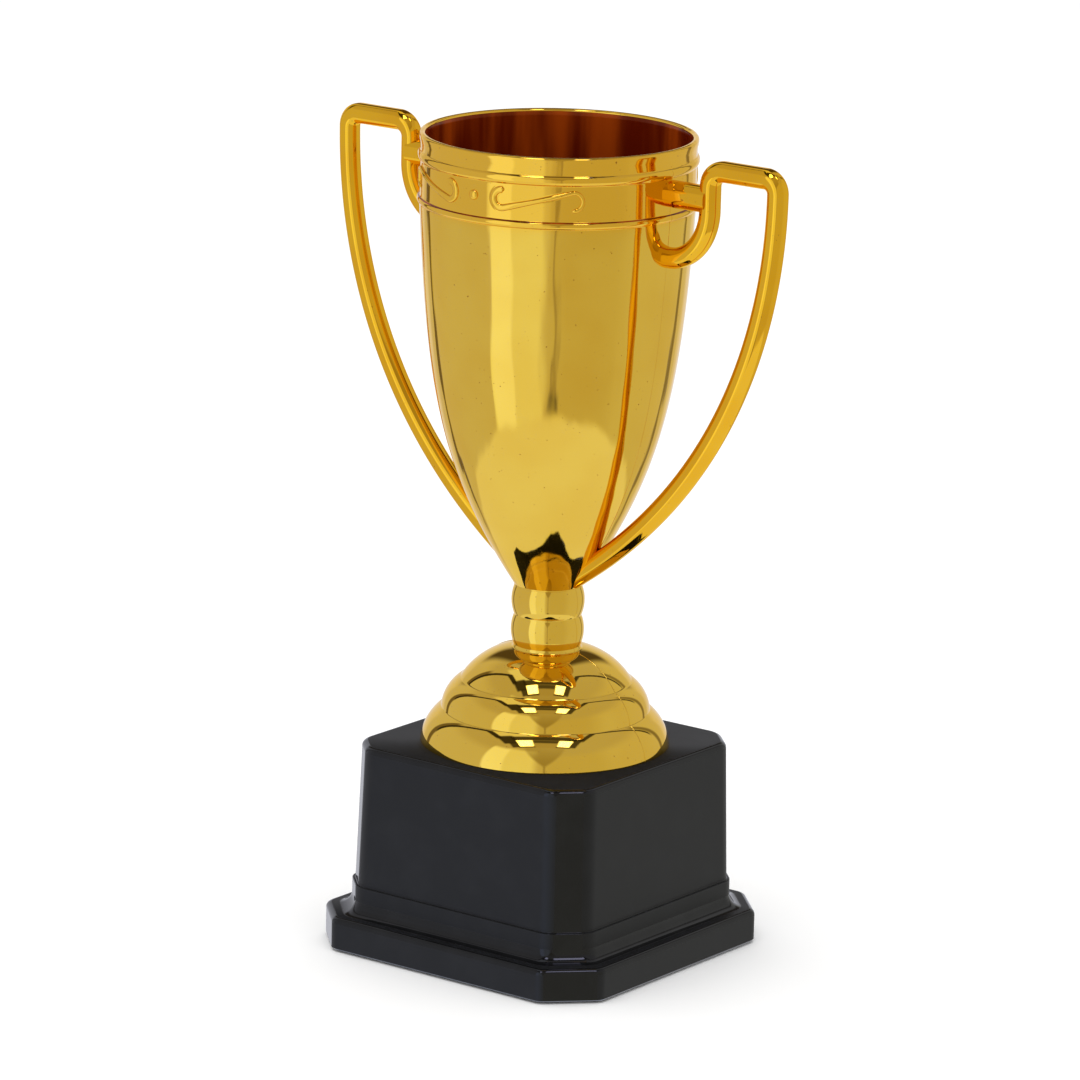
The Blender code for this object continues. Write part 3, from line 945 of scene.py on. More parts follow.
@dataclass
class Scrollwork:
    """Raised scrolls round the band, two on each side of a stud, at the front and at the back."""

    bowl: Bowl
    middle: float = 0.0098  # from the lip down to the middle of the scrolls
    start: float = 0.0073  # from the stud to the middle of the near hook
    span: float = 0.0163  # between the middles of the two hooks
    hook: float = 0.00205
    width: float = 0.00115
    hook_swell: float = 1.4
    tail_swell: float = 0.8
    height: float = 0.00060
    sunk: float = 0.0003
    fillet: float = 0.00004
    step: float = 0.00012
    tip: float = 0.0006  # length over which each end narrows
    stud_radius: float = 0.00115
    stud_height: float = 0.00070

    def _centre_line(self) -> list[Point2]:
        """One scroll as (distance from the stud, height over the scrolls' middle)."""
        slope = math.degrees(math.asin(2 * self.hook / self.span))
        near = arc((self.start, 0), self.hook, 78, 270 + slope, 40)
        far = arc((self.start + self.span, 0), self.hook, 90 + slope, -100, 40)
        return near + far

    def _section(self) -> list[Point2]:
        """The scroll's section as (across, out of the band), with a small fillet at each foot."""
        half, foot = self.width / 2, self.fillet
        turns = [math.pi * k / 10 for k in range(11)]
        ridge = [(half * math.cos(a), foot + self.height * math.sin(a) ** 0.8) for a in turns]
        right = [(half * 1.5, -self.sunk), (half * 1.5, -0.00001), (half * 1.12, foot)]
        left = [(-half * 1.12, foot), (-half * 1.5, -0.00001)]
        return [(-half * 1.5, -self.sunk)] + right + ridge + left

    def _swell(self, place: int, last: int) -> float:
        """The factor on the scroll's width at one of its points.

        Args:
            place: Index of the point.
            last: Index of the last point.

        Returns:
            The factor: wide round the near hook, slender at the far one, narrow at the tips.
        """
        share = place / last
        swell = self.hook_swell + (1 - self.hook_swell) * smooth((share - 0.18) / 0.32)
        swell -= (1 - self.tail_swell) * smooth((share - 0.6) / 0.25)
        return swell * math.sqrt(min(1.0, 0.12 + min(place, last - place) * self.step / self.tip))

    def _scroll(self, name: str, side: float, turn: float) -> bpy.types.Object:
        """One scroll wrapped on the band.

        Args:
            name: The object's name.
            side: 1 to the right of the stud, -1 to the left.
            turn: Rotation about the bowl's axis.

        Returns:
            The object.
        """
        level = self.bowl.top - self.middle
        line = resampled(self._centre_line(), self.step)
        section = self._section()
        about = Matrix.Rotation(turn, 3, "Z")
        rings = []
        last = len(line) - 1
        for i, point in enumerate(line):
            ahead, swell = heading(line, i), self._swell(i, last)
            ring = []
            for across, up in section:
                along, height = point.x - ahead.y * across * swell, point.y + ahead.x * across * swell
                place, out = self.bowl.on_band(side * along, level + height)
                ring.append(about @ (place + out * (up if up < 0 else up * min(swell, 1.0))))
            rings.append(ring if side < 0 else ring[::-1])
        return skinned(name, rings)

    def _stud(self, name: str, turn: float) -> bpy.types.Object:
        """The domed stud between two scrolls."""
        dome = arc((0, 0), 1.0, 0, 90, 10)
        rings = []
        level = self.bowl.top - self.middle
        for reach, up in [(1.15, -0.3), (1.15, 0.02), *dome[:-1], (0.03, 1.0)]:
            ring = []
            for j in range(24):
                angle = -math.tau * j / 24
                far = reach * self.stud_radius
                place, out = self.bowl.on_band(far * math.cos(angle), level + far * math.sin(angle))
                ring.append(Matrix.Rotation(turn, 3, "Z") @ (place + out * up * self.stud_height))
            rings.append(ring[::-1])
        return skinned(name, rings)

    def build(self) -> None:
        """Makes the four scrolls and the two studs."""
        for place, turn in (("front", 0.0), ("back", math.pi)):
            for hand, side in (("right", 1.0), ("left", -1.0)):
                scroll = self._scroll(f"scroll_{place}_{hand}", side, turn)
                fitted(scroll, BOWL_GOLD, "gold_plastic")
            fitted(self._stud(f"stud_{place}", turn), BOWL_GOLD, "gold_plastic")


# ---- handles ------------------------------------------------------------------------------------


@dataclass
class Handle:
    """One curled handle: a soft eight-sided bar with a short stub to the band of the bowl."""

    bowl: Bowl
    side: str = "right"
    across: float = 0.00475
    stub_across: float = 0.0060
    edge: float = 0.0016
    drop: float = 0.0005
    reach: float = 0.0604
    leg_reach: float = 0.0422
    top_to_curl: float = 0.0214
    top_to_stub: float = 0.0068
    curl_span: float = 0.0107
    curl_rise: float = 0.0122
    leg_bend: float = 0.0037
    arm_bend: float = 0.0032
    root_height: float = 0.0049
    root_reach: float = 0.0110
    belly: Point2 = (0.0539, 0.0352)
    arm_drop: float = 0.0225
    sunk: float = 0.0003  # how far its ends go into the bowl's wall
    leg_tail: float = 0.006  # how far each end runs on before it is trimmed
    arm_tail: float = 0.005
    stub_tail: float = 0.002
    trim_margin: float = 0.01  # how far the trimming solid stands over the lip
    spacing: float = 0.00035

    def _section(self, across: float) -> list[Point2]:
        """The bar's section: eight flats with rounded edges."""
        middle = (across / 2 - self.edge) / math.cos(math.pi / 8)
        points: list[Point2] = []
        for k in range(8):
            angle = math.pi / 8 + k * math.pi / 4
            centre = (middle * math.cos(angle), middle * math.sin(angle))
            points += arc(centre, self.edge, k * 45, (k + 1) * 45, 5)
        return points

    def _path(self) -> list[Point2]:
        """Middle line in the XZ plane, from the curl to the bottom of the bowl."""
        top = self.bowl.top - self.drop - self.across / 2
        curl_height = top - self.top_to_curl
        quarter = arc((0, 0), 1, 270, 360, 60)
        path = [
            (self.leg_reach - self.curl_span * (1 - x), curl_height + self.curl_rise * (1 + z))
            for x, z in quarter
        ]
        path = [(path[0][0] - self.leg_tail, curl_height)] + path
        path += arc((self.leg_reach + self.leg_bend, top - self.leg_bend), self.leg_bend, 180, 90, 24)
        path += arc((self.reach - self.arm_bend, top - self.arm_bend), self.arm_bend, 90, 0, 24)
        start = (self.reach, top - self.arm_bend)
        belly = (self.belly[0], self.bowl.bottom + self.belly[1])
        root = (self.root_reach, self.bowl.bottom + self.root_height)
        path += bezier((start, (start[0], start[1] - self.arm_drop), belly, root), 160)[1:]
        inward = (Vector(root) - Vector(belly)).normalized() * self.arm_tail
        return path + [(root[0] + inward.x, root[1] + inward.y)]

    def _bar(self, name: str, path: Sequence[Point2], across: float) -> bpy.types.Object:
        """A bar swept along a path in the XZ plane.

        Args:
            name: The object's name.
            path: (x, z) points.
            across: Distance across the bar's flats.

        Returns:
            The object.
        """
        line = resampled(path, self.spacing)
        section = self._section(across)
        rings = []
        for i, point in enumerate(line):
            ahead = heading(line, i)
            rings.append([
                Vector((point.x - ahead.y * a, b, point.y + ahead.x * a)) for a, b in section
            ])
        return skinned(name, rings)

    def build(self) -> None:
        """Makes the handle, trims its ends to the bowl and turns it to its side."""
        name = f"handle_{self.side}_bar"
        bar = self._bar(name, self._path(), self.across)
        stub_height = self.bowl.top - self.drop - self.across / 2 - self.top_to_stub
        stub_start = self.bowl.band_radius - self.stub_tail
        stub_path = [(stub_start, stub_height), (self.leg_reach, stub_height)]
        combined(bar, self._bar("stub", stub_path, self.stub_across), Operation.JOIN)
        above = self.bowl.top + self.trim_margin
        outline = [(0.0, self.bowl.bottom - 0.001)]
        outline += [(max(r, 0.001), z) for r, z in self.bowl.outside(-self.sunk)]
        outline += [(self.bowl.band_radius - self.sunk, above), (0.0, above)]
        combined(bar, revolved("trim", outline, 144), Operation.CUT)
        if self.side == "left":
            bar.data.transform(Matrix.Rotation(math.pi, 4, "Z"))
        fitted(weighted(bar), HANDLE_GOLD, "gold_plastic", f"handle_{self.side}")


# ---- foot ---------------------------------------------------------------------------------------


@dataclass
class Foot:
    """The tiered foot with the two rings of the stem."""

    # Each tier's upper edge: its radius, its height over the plinth and the bulge under it.
    lower: tuple[float, float, float] = (0.0241, 0.00805, 0.0010)
    middle: tuple[float, float, float] = (0.0197, 0.01485, 0.0010)
    upper: tuple[float, float, float] = (0.0080, 0.02240, 0.0015)
    radius: float = 0.0288
    wall: float = 0.0018
    crease: float = 0.00035
    ring: float = 0.0070
    ring_radius: float = 0.00845
    waist: float = 0.00775
    gap: float = 0.0003
    core_wall: float = 0.0020
    bore: float = 0.0023
    web: float = 0.0030
    socket: float = 0.0042
    socket_depth: float = 0.0019
    rim_height: float = 0.0025

    def __post_init__(self) -> None:
        """Takes the foot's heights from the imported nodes."""
        self.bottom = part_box("foot")[0].z - self.gap + SEAM
        self.plinth_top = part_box("foot")[0].z - self.gap
        self.stem_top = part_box("foot")[1].z

    def outside(self) -> list[Point2]:
        """The outer outline from the lower edge to the top of the stem."""
        edges = [(self.radius, self.bottom)]
        edges += [(r, self.plinth_top + h) for r, h, _ in (self.lower, self.middle, self.upper)]
        rises = [tier[2] for tier in (self.lower, self.middle, self.upper)]
        runs = [bulge(a, b, rise, 32) for a, b, rise in zip(edges, edges[1:], rises)]
        base, proud = self.stem_top - 2 * self.ring, self.ring_radius - self.waist
        for k in range(2):
            low = base + k * self.ring
            runs.append(bulge((self.waist, low), (self.waist, low + self.ring), proud, 24))
        outline = list(runs[0])
        for run in runs[1:]:
            joined = math.dist(outline[-1], run[0]) < 1e-6
            corner = len(outline) - 1
            outline += run[1:] if joined else run
            outline = eased(outline, corner, self.crease, 6)
        return outline

    def _inside(self) -> list[Point2]:
        """The inner outline from the socket under the bowl down to the lower edge."""
        core, seat = self.waist - self.core_wall, self.stem_top - self.socket_depth
        inside = [(self.socket, self.stem_top), (self.socket, seat), (self.bore, seat)]
        inside += [(self.bore, seat - self.web), (core, seat - self.web)]
        inside.append((core, self.plinth_top + self.upper[1] - self.wall))
        for r, h, _ in (self.middle, self.lower):
            inside.append((r - self.wall, self.plinth_top + h - self.wall))
        rim = self.radius - self.wall
        return inside + [(rim, self.bottom + self.rim_height), (rim, self.bottom)]

    def build(self) -> None:
        """Makes the foot as a thick turned shell."""
        shell = revolved("foot_shell", self.outside() + self._inside())
        fitted(shell, GOLD, "gold_plastic", "foot")


PARTING_SECTION = (  # across in widths and out in heights, anticlockwise
    (-0.6, -2.5),
    (0.6, -2.5),
    (0.5, 0.0),
    (0.25, 0.75),
    (0.0, 1.0),
    (-0.25, 0.75),
    (-0.5, 0.0),
)


@dataclass
class PartingLine:
    """The fine raised line that the mould leaves along a turned shape, in the plane of the handles."""

    outline: Sequence[Point2]
    name: str
    width: float = 0.00016
    height: float = 0.00005
    spacing: float = 0.0003

    def build(self) -> None:
        """Makes the line on both sides."""
        line = resampled(self.outline, self.spacing)
        for hand, turn in (("right", 0.0), ("left", math.pi)):
            rings = []
            for i, point in enumerate(line):
                ahead = heading(line, i)
                out = Vector((ahead.y, -ahead.x))
                ring = []
                for across, up in PARTING_SECTION:
                    spot = point + out * up * self.height
                    place = Vector((spot.x, across * self.width, spot.y))
                    ring.append(Matrix.Rotation(turn, 3, "Z") @ place)
                rings.append(ring)
            fitted(skinned(f"{self.name}_{hand}", rings), GOLD, "gold_plastic")


# ---- plinth -------------------------------------------------------------------------------------


@dataclass
class Plinth:
    """The hollow square plinth with cut corners, a coved skirt and a wide flange."""

    flange_side: float = 0.080
    flange_height: float = 0.0076
    flange_edge: float = 0.0014
    flange_corner: float = 0.0101
    skirt_side: float = 0.0690
    skirt_top: float = 0.01425
    skirt_corner: float = 0.0071
    cove_top: float = 0.0108
    ledge: float = 0.0007
    ledge_round: float = 0.00018
    draft: float = 0.00075
    block_corner: float = 0.0067
    block_edge: float = 0.0015
    wall: float = 0.0020
    softness: float = 0.0022
    crispness: float = 0.6  # the flange's share of that softness
    chamfer: float = 0.0003
    corner_flat: float = 0.0004  # short flats beside rounded edges, which keep their shading true
    flange_flat: float = 0.0003
    block_flat: float = 0.0004
    top_flat: float = 0.0005
    cover_corner: float = 0.0086
    cover_wall: float = 0.0024  # the flange's wall round the cover
    cover_seat: float = 0.0028
    cover_ledge: float = 0.0020
    post_place: float = 0.023
    post_bore: float = 0.0015
    post_radius: float = 0.0031
    post_foot: float = 0.003
    post_sunk: float = 0.001  # how far the posts go into the roof

    def __post_init__(self) -> None:
        """Takes the plinth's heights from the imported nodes."""
        self.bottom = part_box("plinth")[0].z
        self.top = Foot().plinth_top
        self.height = self.top - self.bottom

    def _ring(self, half: float, leg: float, height: float, softness: float) -> list[Vector]:
        """A square with cut, softened corners at one height, anticlockwise from above.

        Args:
            half: Half side.
            leg: Leg of each cut corner.
            height: Height over the plinth's bottom.
            softness: Reach of each softened edge.

        Returns:
            The ring's points.
        """
        corners = []
        for quarter in range(4):
            turn = Matrix.Rotation(math.pi / 2 * quarter, 2)
            corners += [turn @ Vector((half, half - leg)), turn @ Vector((half - leg, half))]
        points = []
        for before, corner, after in zip(corners[-1:] + corners, corners, corners[1:] + corners[:1]):
            back, onward = (before - corner).normalized(), (after - corner).normalized()
            start, end = corner + back * softness, corner + onward * softness
            points.append(start + back * self.corner_flat)
            for i in range(9):
                t = i / 8
                points.append((1 - t) ** 2 * start + 2 * t * (1 - t) * corner + t * t * end)
            points.append(end + onward * self.corner_flat)
        return [Vector((p.x, p.y, self.bottom + height)) for p in points]

    def _block_half(self, height: float) -> float:
        """Half side of the drafted block at a height."""
        share = (height - self.skirt_top) / (self.height - self.skirt_top)
        return self.skirt_side / 2 - self.ledge - self.draft * share

    def _levels(self) -> list[tuple[float, float, float, float]]:
        """The outside as (height, half side, corner leg, softness), bottom to top."""
        flange, skirt = self.flange_side / 2, self.skirt_side / 2
        crisp, soft = self.softness * self.crispness, self.softness
        shoulder = self.flange_height - self.flange_edge
        levels = [(0.0, flange - self.chamfer, self.flange_corner, crisp)]
        for height in (self.chamfer, self.chamfer * 2, shoulder - self.flange_flat):
            levels.append((height, flange, self.flange_corner, crisp))
        edge = arc((flange - self.flange_edge, shoulder), self.flange_edge, 0, 90, 10)
        depth = self.cove_top - self.flange_height
        cove = arc((skirt + depth, self.cove_top), depth, 270, 180, 12)
        for half, height in edge + cove:
            share = (flange - half) / (flange - skirt)
            leg = self.flange_corner + (self.skirt_corner - self.flange_corner) * share
            levels.append((height, half, leg, crisp + (soft - crisp) * share))
        r = self.ledge_round
        levels.append((self.skirt_top - r * 2, skirt, self.skirt_corner, soft))
        for half, height in arc((skirt - r, self.skirt_top - r), r, 0, 90, 5):
            levels.append((height, half, self.skirt_corner, soft))
        base = self._block_half(self.skirt_top)
        for half, height in arc((base + r, self.skirt_top + r), r, 270, 180, 5):
            levels.append((height, half, self.block_corner, soft))
        levels.append((self.skirt_top + r * 3, base, self.block_corner, soft))
        shoulder = self.height - self.block_edge
        high = self._block_half(shoulder)
        levels.append((shoulder - self.block_flat, high, self.block_corner, soft))
        for half, height in arc((high - self.block_edge, shoulder), self.block_edge, 0, 90, 12):
            leg = self.block_corner - (high - half) * 0.5
            levels.append((height, half, leg, soft))
        end = high - self.block_edge - self.top_flat
        return levels + [(self.height, end, levels[-1][2], soft)]

    def _inner(self) -> list[list[Vector]]:
        """The rings of the hollow, from the cover's recess up to the roof."""
        recess = self.flange_side / 2 - self.cover_wall
        room = recess - self.cover_ledge
        roof = self.flange_height - self.wall
        low = self._block_half(self.skirt_top) - self.wall
        high = self._block_half(self.height) - self.wall
        levels = (
            (0.0, recess, self.cover_corner),
            (self.cover_seat, recess, self.cover_corner),
            (self.cover_seat, room, self.cover_corner),
            (roof, room, self.cover_corner),
            (roof + self.wall, low, self.block_corner),
            (self.height - self.wall, high, self.block_corner),
        )
        return [self._ring(half, leg, height, self.softness) for height, half, leg in levels]

    def _post(self, x: float, y: float) -> bpy.types.Object:
        """One screw post, hanging from the roof."""
        foot, top = self.bottom + self.post_foot, self.top - self.post_sunk
        outline = [(self.post_bore, foot), (self.post_radius, foot)]
        outline += [(self.post_radius, top), (self.post_bore, top)]
        return revolved("post", outline, 32, (x, y))

    def build(self) -> None:
        """Makes the plinth as one open-bottomed shell with its four screw posts."""
        outer = [self._ring(half, leg, height, soft) for height, half, leg, soft in self._levels()]
        shell = skinned("plinth_shell", self._inner()[::-1] + outer)
        for x in (-self.post_place, self.post_place):
            for y in (-self.post_place, self.post_place):
                combined(shell, self._post(x, y), Operation.JOIN)
        fitted(shell, BLACK, "black_plastic", "plinth")


# ---- hardware and underside ---------------------------------------------------------------------


@dataclass
class Fastenings:
    """The nut, washer and bolt end in the bowl, and the screws and pads under the cover."""

    across: float = 0.0070
    cone_start: float = 0.97  # share of half the width across flats where the chamfer starts
    cone_slope: float = 1.7
    bore_ease: float = 0.0001
    bore_chamfer: float = 0.0003
    head: float = 0.0028
    pitch: float = 0.0007
    thread_depth: float = 0.00022
    thread_length: float = 0.016
    thread_steps: int = 280
    end_chamfer: float = 0.0005
    shank: float = 0.0020
    washer_ease: float = 0.0003
    washer_round: float = 0.0002
    screw_shank: float = 0.0012
    screw_pitch: float = 0.0010
    screw_core: float = 0.78  # the core's share of the screw's radius
    screw_point: float = 0.004  # length over which the screw comes to its point
    screw_steps: int = 120
    pad_round: float = 0.00035

    def _hexagon(self, low: float, high: float = math.inf) -> Shape:
        """The rule that makes a turning a hexagon with chamfered ends.

        Args:
            low: Height of the chamfered lower end.
            high: Height of the chamfered upper end, where there is one.

        Returns:
            The rule for the radius.
        """
        flat = self.across / 2

        def rule(radius: float, height: float, angle: float) -> float:
            """Radius of the hexagon, capped by the chamfer cone."""
            turn = (angle + math.pi / 6) % (math.pi / 3) - math.pi / 6
            cone = flat * self.cone_start + min(height - low, high - height) * self.cone_slope
            return radius if radius < flat else min(flat / math.cos(turn), cone)

        return rule

    def _nut(self) -> bpy.types.Object:
        """A hexagon nut with chamfered corners."""
        low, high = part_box("bowl_nut")
        low, high = low.z, high.z
        corner = self.across / 2 / math.cos(math.pi / 6)
        cone = self.across / 2 * self.cone_start
        bore, r = self.shank + self.bore_ease, self.bore_chamfer
        outline = [(bore + r, low), (cone, low)]
        outline += [(corner, low + (high - low) * k / 24) for k in range(25)]
        outline += [(cone, high), (bore + r, high), (bore, high - r), (bore, low + r)]
        return revolved("nut_hex", outline, 96, (0.0, 0.0), self._hexagon(low, high))

    def _bolt_end(self) -> bpy.types.Object:
        """The threaded bolt, with its head under the plinth's roof."""
        low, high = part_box("tie_bolt")
        low, high = low.z, high.z
        head, chamfer = low + self.head, self.end_chamfer

        def thread(radius: float, height: float, angle: float) -> float:
            """Radius with the thread's groove cut in."""
            phase = ((height - high) / self.pitch - angle / math.tau) % 1.0
            groove = self.thread_depth * (1 - abs(2 * phase - 1))
            if height < high - self.thread_length:
                groove = 0.0
            return radius - groove if radius > self.shank * 0.9 else radius

        outline = [(0.0, head - 0.0006), (self.shank, head - 0.0006)]
        start = high - self.thread_length - chamfer
        run = high - chamfer - start
        steps = self.thread_steps
        outline += [(self.shank, start + run * k / steps) for k in range(steps + 1)]
        outline += [(self.shank * 0.8, high - chamfer * 0.4), (self.shank * 0.72, high), (0.0, high)]
        bolt = revolved("bolt_thread", outline, SMALL_STEPS, (0.0, 0.0), thread)
        flat = self.across / 2
        outline = [(0.0, low), (flat * self.cone_start, low)]
        outline += [(flat * 1.2, low + (head - low) * k / 12) for k in range(13)] + [(0.0, head)]
        hexagon = revolved("head", outline, 96, (0.0, 0.0), self._hexagon(low))
        return combined(bolt, hexagon, Operation.JOIN)

    def _washer(self, name: str, node: str) -> bpy.types.Object:
        """A washer with rolled edges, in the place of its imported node."""
        low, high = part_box(node)
        outer, bore, r = high.x, self.shank + self.washer_ease, self.washer_round
        outline = [(bore, low.z + r), (bore + r, low.z), (outer - r, low.z)]
        outline += arc((outer - r, low.z + r), r, 270, 360, 4)[1:]
        outline += arc((outer - r, high.z - r), r, 0, 90, 4)
        outline += [(bore + r, high.z), (bore, high.z - r)]
        return revolved(name, outline, 96)

    def _screw(self, place: str) -> bpy.types.Object:
        """A countersunk screw with a cross recess, head down."""
        low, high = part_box(f"cover_screw_{place}")
        x, y = (low.x + high.x) / 2, (low.y + high.y) / 2
        head, shank = (high.x - low.x) / 2, self.screw_shank
        neck, tip = low.z + head - shank, high.z
        outline = [(0.0, low.z), (head - 0.0001, low.z), (head, low.z + 0.0001), (shank, neck)]
        start = neck + 0.0004

        def thread(radius: float, height: float, angle: float) -> float:
            """Radius with the coarse thread of a plastic screw."""
            if height <= start or radius > shank * 1.01:
                return radius
            phase = ((height - start) / self.screw_pitch - angle / math.tau) % 1.0
            crest = max(0.0, 1 - abs(2 * phase - 1) * 2.2)
            return radius * (self.screw_core + (1 - self.screw_core) * crest)

        for k in range(self.screw_steps + 1):
            height = start + (tip - 0.0006 - start) * k / self.screw_steps
            taper = min(1.0, 0.4 + (tip - height) / self.screw_point)
            outline.append((shank * taper, height))
        outline.append((0.0, tip))
        screw = revolved(f"screw_{place}", outline, SMALL_STEPS, (x, y), thread)
        for turn in (0.0, math.pi / 2):
            arm = self._recess_arm(turn)
            arm.data.transform(Matrix.Translation((x, y, low.z)))
            combined(screw, arm, Operation.CUT)
        return screw

    def _recess_arm(self, turn: float) -> bpy.types.Object:
        """One tapering arm of a cross recess, about the origin and going up.

        Args:
            turn: Rotation about Z.

        Returns:
            The cutter.
        """
        rings = []
        for height, length, width in ((-0.0005, 0.0016, 0.00028), (0.0012, 0.0008, 0.00020)):
            corners = ((-1, -1), (1, -1), (1, 1), (-1, 1))
            rings.append([Vector((length * a, width * b, height)) for a, b in corners])
        arm = skinned("arm", rings)
        arm.data.transform(Matrix.Rotation(turn, 4, "Z"))
        return arm

    def _pad(self, place: str) -> bpy.types.Object:
        """A soft round pad with rounded edges."""
        low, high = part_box(f"foot_pad_{place}")
        x, y = (low.x + high.x) / 2, (low.y + high.y) / 2
        radius, r = (high.x - low.x) / 2, self.pad_round
        outline = [(0.0, low.z), (radius - r, low.z)]
        outline += arc((radius - r, low.z + r), r, 270, 360, 6)[1:] + [(radius, high.z), (0.0, high.z)]
        return revolved(f"pad_{place}", outline, SMALL_STEPS, (x, y))

    def build(self) -> None:
        """Makes every fastening and pad."""
        fitted(self._nut(), STEEL, "zinc_steel", "bowl_nut")
        fitted(self._bolt_end(), STEEL, "zinc_steel", "tie_bolt")
        fitted(self._washer("washer_bowl", "bowl_washer"), STEEL, "zinc_steel", "bowl_washer")
        fitted(self._washer("washer_roof", "bolt_washer"), STEEL, "zinc_steel", "bolt_washer")
        for place in ("front_left", "front_right", "back_left", "back_right"):
            fitted(self._screw(place), STEEL, "zinc_steel", f"cover_screw_{place}")
            fitted(self._pad(place), RUBBER, "pad_rubber", f"foot_pad_{place}")


def dress_packed_nodes() -> None:
    """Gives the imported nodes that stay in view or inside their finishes."""
    for node, finish in (("base_cover", COVER), ("ballast", CEMENT)):
        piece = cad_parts[node]
        piece.data.materials.clear()
        piece.data.materials.append(finish.material())
        LOG.info("%s: packed mesh, %s", node, finish.name)


# ---- studio -------------------------------------------------------------------------------------


@dataclass(frozen=True)
class Patch:
    """One soft-edged area of the white tent round the trophy.

    On the walls its limits are degrees of turn from the camera's direction and degrees of rise; on
    the ceiling they are degrees off the zenith, to the camera's right and towards the camera.
    """

    across: tuple[float, float]
    along: tuple[float, float]
    glow: Colour
    soft: tuple[float, float] = (2.0, 2.0)
    share: float = 1.0
    bend: float = 0.0
    knee: float = 0.0

    def over(self, graph: Graph, below: Signal, across: Signal, along: Signal) -> Signal:
        """Lays the patch over the tent.

        Args:
            graph: The world's graph.
            below: The tent so far.
            across: First coordinate of the direction.
            along: Second coordinate.

        Returns:
            The tent with the patch.
        """
        if self.bend:
            across = across - graph.maths("MAXIMUM", self.knee - along, 0.0) * self.bend
        mask = graph.window(across, *self.across, self.soft[0])
        mask = mask * graph.window(along, *self.along, self.soft[1])
        return graph.mix(mask * self.share, below, self.glow)


DEGREES = 180 / math.pi
TENT_LEFT: Colour = (0.72, 0.73, 0.80)
TENT_TURNS = (  # degrees of turn over which the tent changes, and the colour that follows
    ((-20, 12), (0.67, 0.65, 0.55)),
    ((48, 78), (0.73, 0.73, 0.70)),
)
OPENING: Colour = (0.40, 0.36, 0.27)
OPENING_FOOT = 78.0  # degrees off the zenith where the tent's front opening ends in a point
OPENING_SPREAD = 0.62  # how fast it widens from there
BRIGHT: Colour = (5.0, 5.0, 7.0)
DARK: Colour = (0.03, 0.025, 0.02)
BROWN: Colour = (0.13, 0.10, 0.07)
WALLS = (
    Patch((-400, 400), (38, 190), (0.62, 0.61, 0.64), (8, 8)),
    Patch((-42, -9), (-60, 48), (0.99, 1.08, 1.25), (5, 4)),
    Patch((-60, -39), (-60, 46), (1.16, 1.31, 1.78), (2, 4)),
    Patch((-190, -150), (-60, 14), (0.86, 0.87, 0.95), (3, 5)),
    Patch((150, 190), (-60, 14), (0.86, 0.87, 0.95), (3, 5)),
    Patch((-190, -155), (20, 76), (0.10, 0.08, 0.06), (6, 4)),
    Patch((155, 190), (20, 76), (0.10, 0.08, 0.06), (6, 4)),
    Patch((-130.5, -124.5), (-33, 40), BROWN, (1, 4), 0.9, -0.15, 50),
    Patch((127, 132), (-34, 40), BROWN, (1.5, 4), 0.75, 0.12, 50),
    Patch((-0.9, 0.9), (-34, 14), (0.25, 0.2, 0.15), (0.9, 2), 0.6),
    Patch((-3, 3), (-35, -31), DARK, (2, 1.5), 0.55),
    Patch((-400, 400), (-95, -35.5), (0.95, 1.01, 1.2), (1, 1.2)),
)
CEILING = (
    Patch((-27, -6), (-22, 4), (0.95, 1.0, 1.1), (1.5, 3)),
    Patch((-30.2, -25.8), (-50, 6), DARK, (0.7, 3), 0.97, -0.8, -12),
    Patch((22.2, 25.8), (-46, 12), DARK, (0.7, 3), 0.92, 0.9, -10),
    Patch((-29, -18), (1, 20), DARK, (1.2, 2), 0.95),
    Patch((-25, -18), (18, 30), DARK, (1.2, 1.5), 0.9),
    Patch((-20, 20), (3, 13), DARK, (1.2, 2), 0.9),
    Patch((-8, 9.5), (13, 21), DARK, (1.2, 2), 0.85),
    Patch((-8, 9.5), (20, 32), (0.50, 0.46, 0.40), (1.2, 2), 0.85),
    Patch((18, 24), (4, 29), DARK, (1, 2), 0.9),
    Patch((-18.5, -8), (13, 28), BRIGHT, (0.8, 0.8)),
    Patch((9.5, 18.5), (13, 28), BRIGHT, (0.8, 0.8)),
    Patch((-20, -7), (28.4, 31), DARK, (1, 0.8), 0.8),
    Patch((8.5, 20), (28.4, 31), DARK, (1, 0.8), 0.8),
)


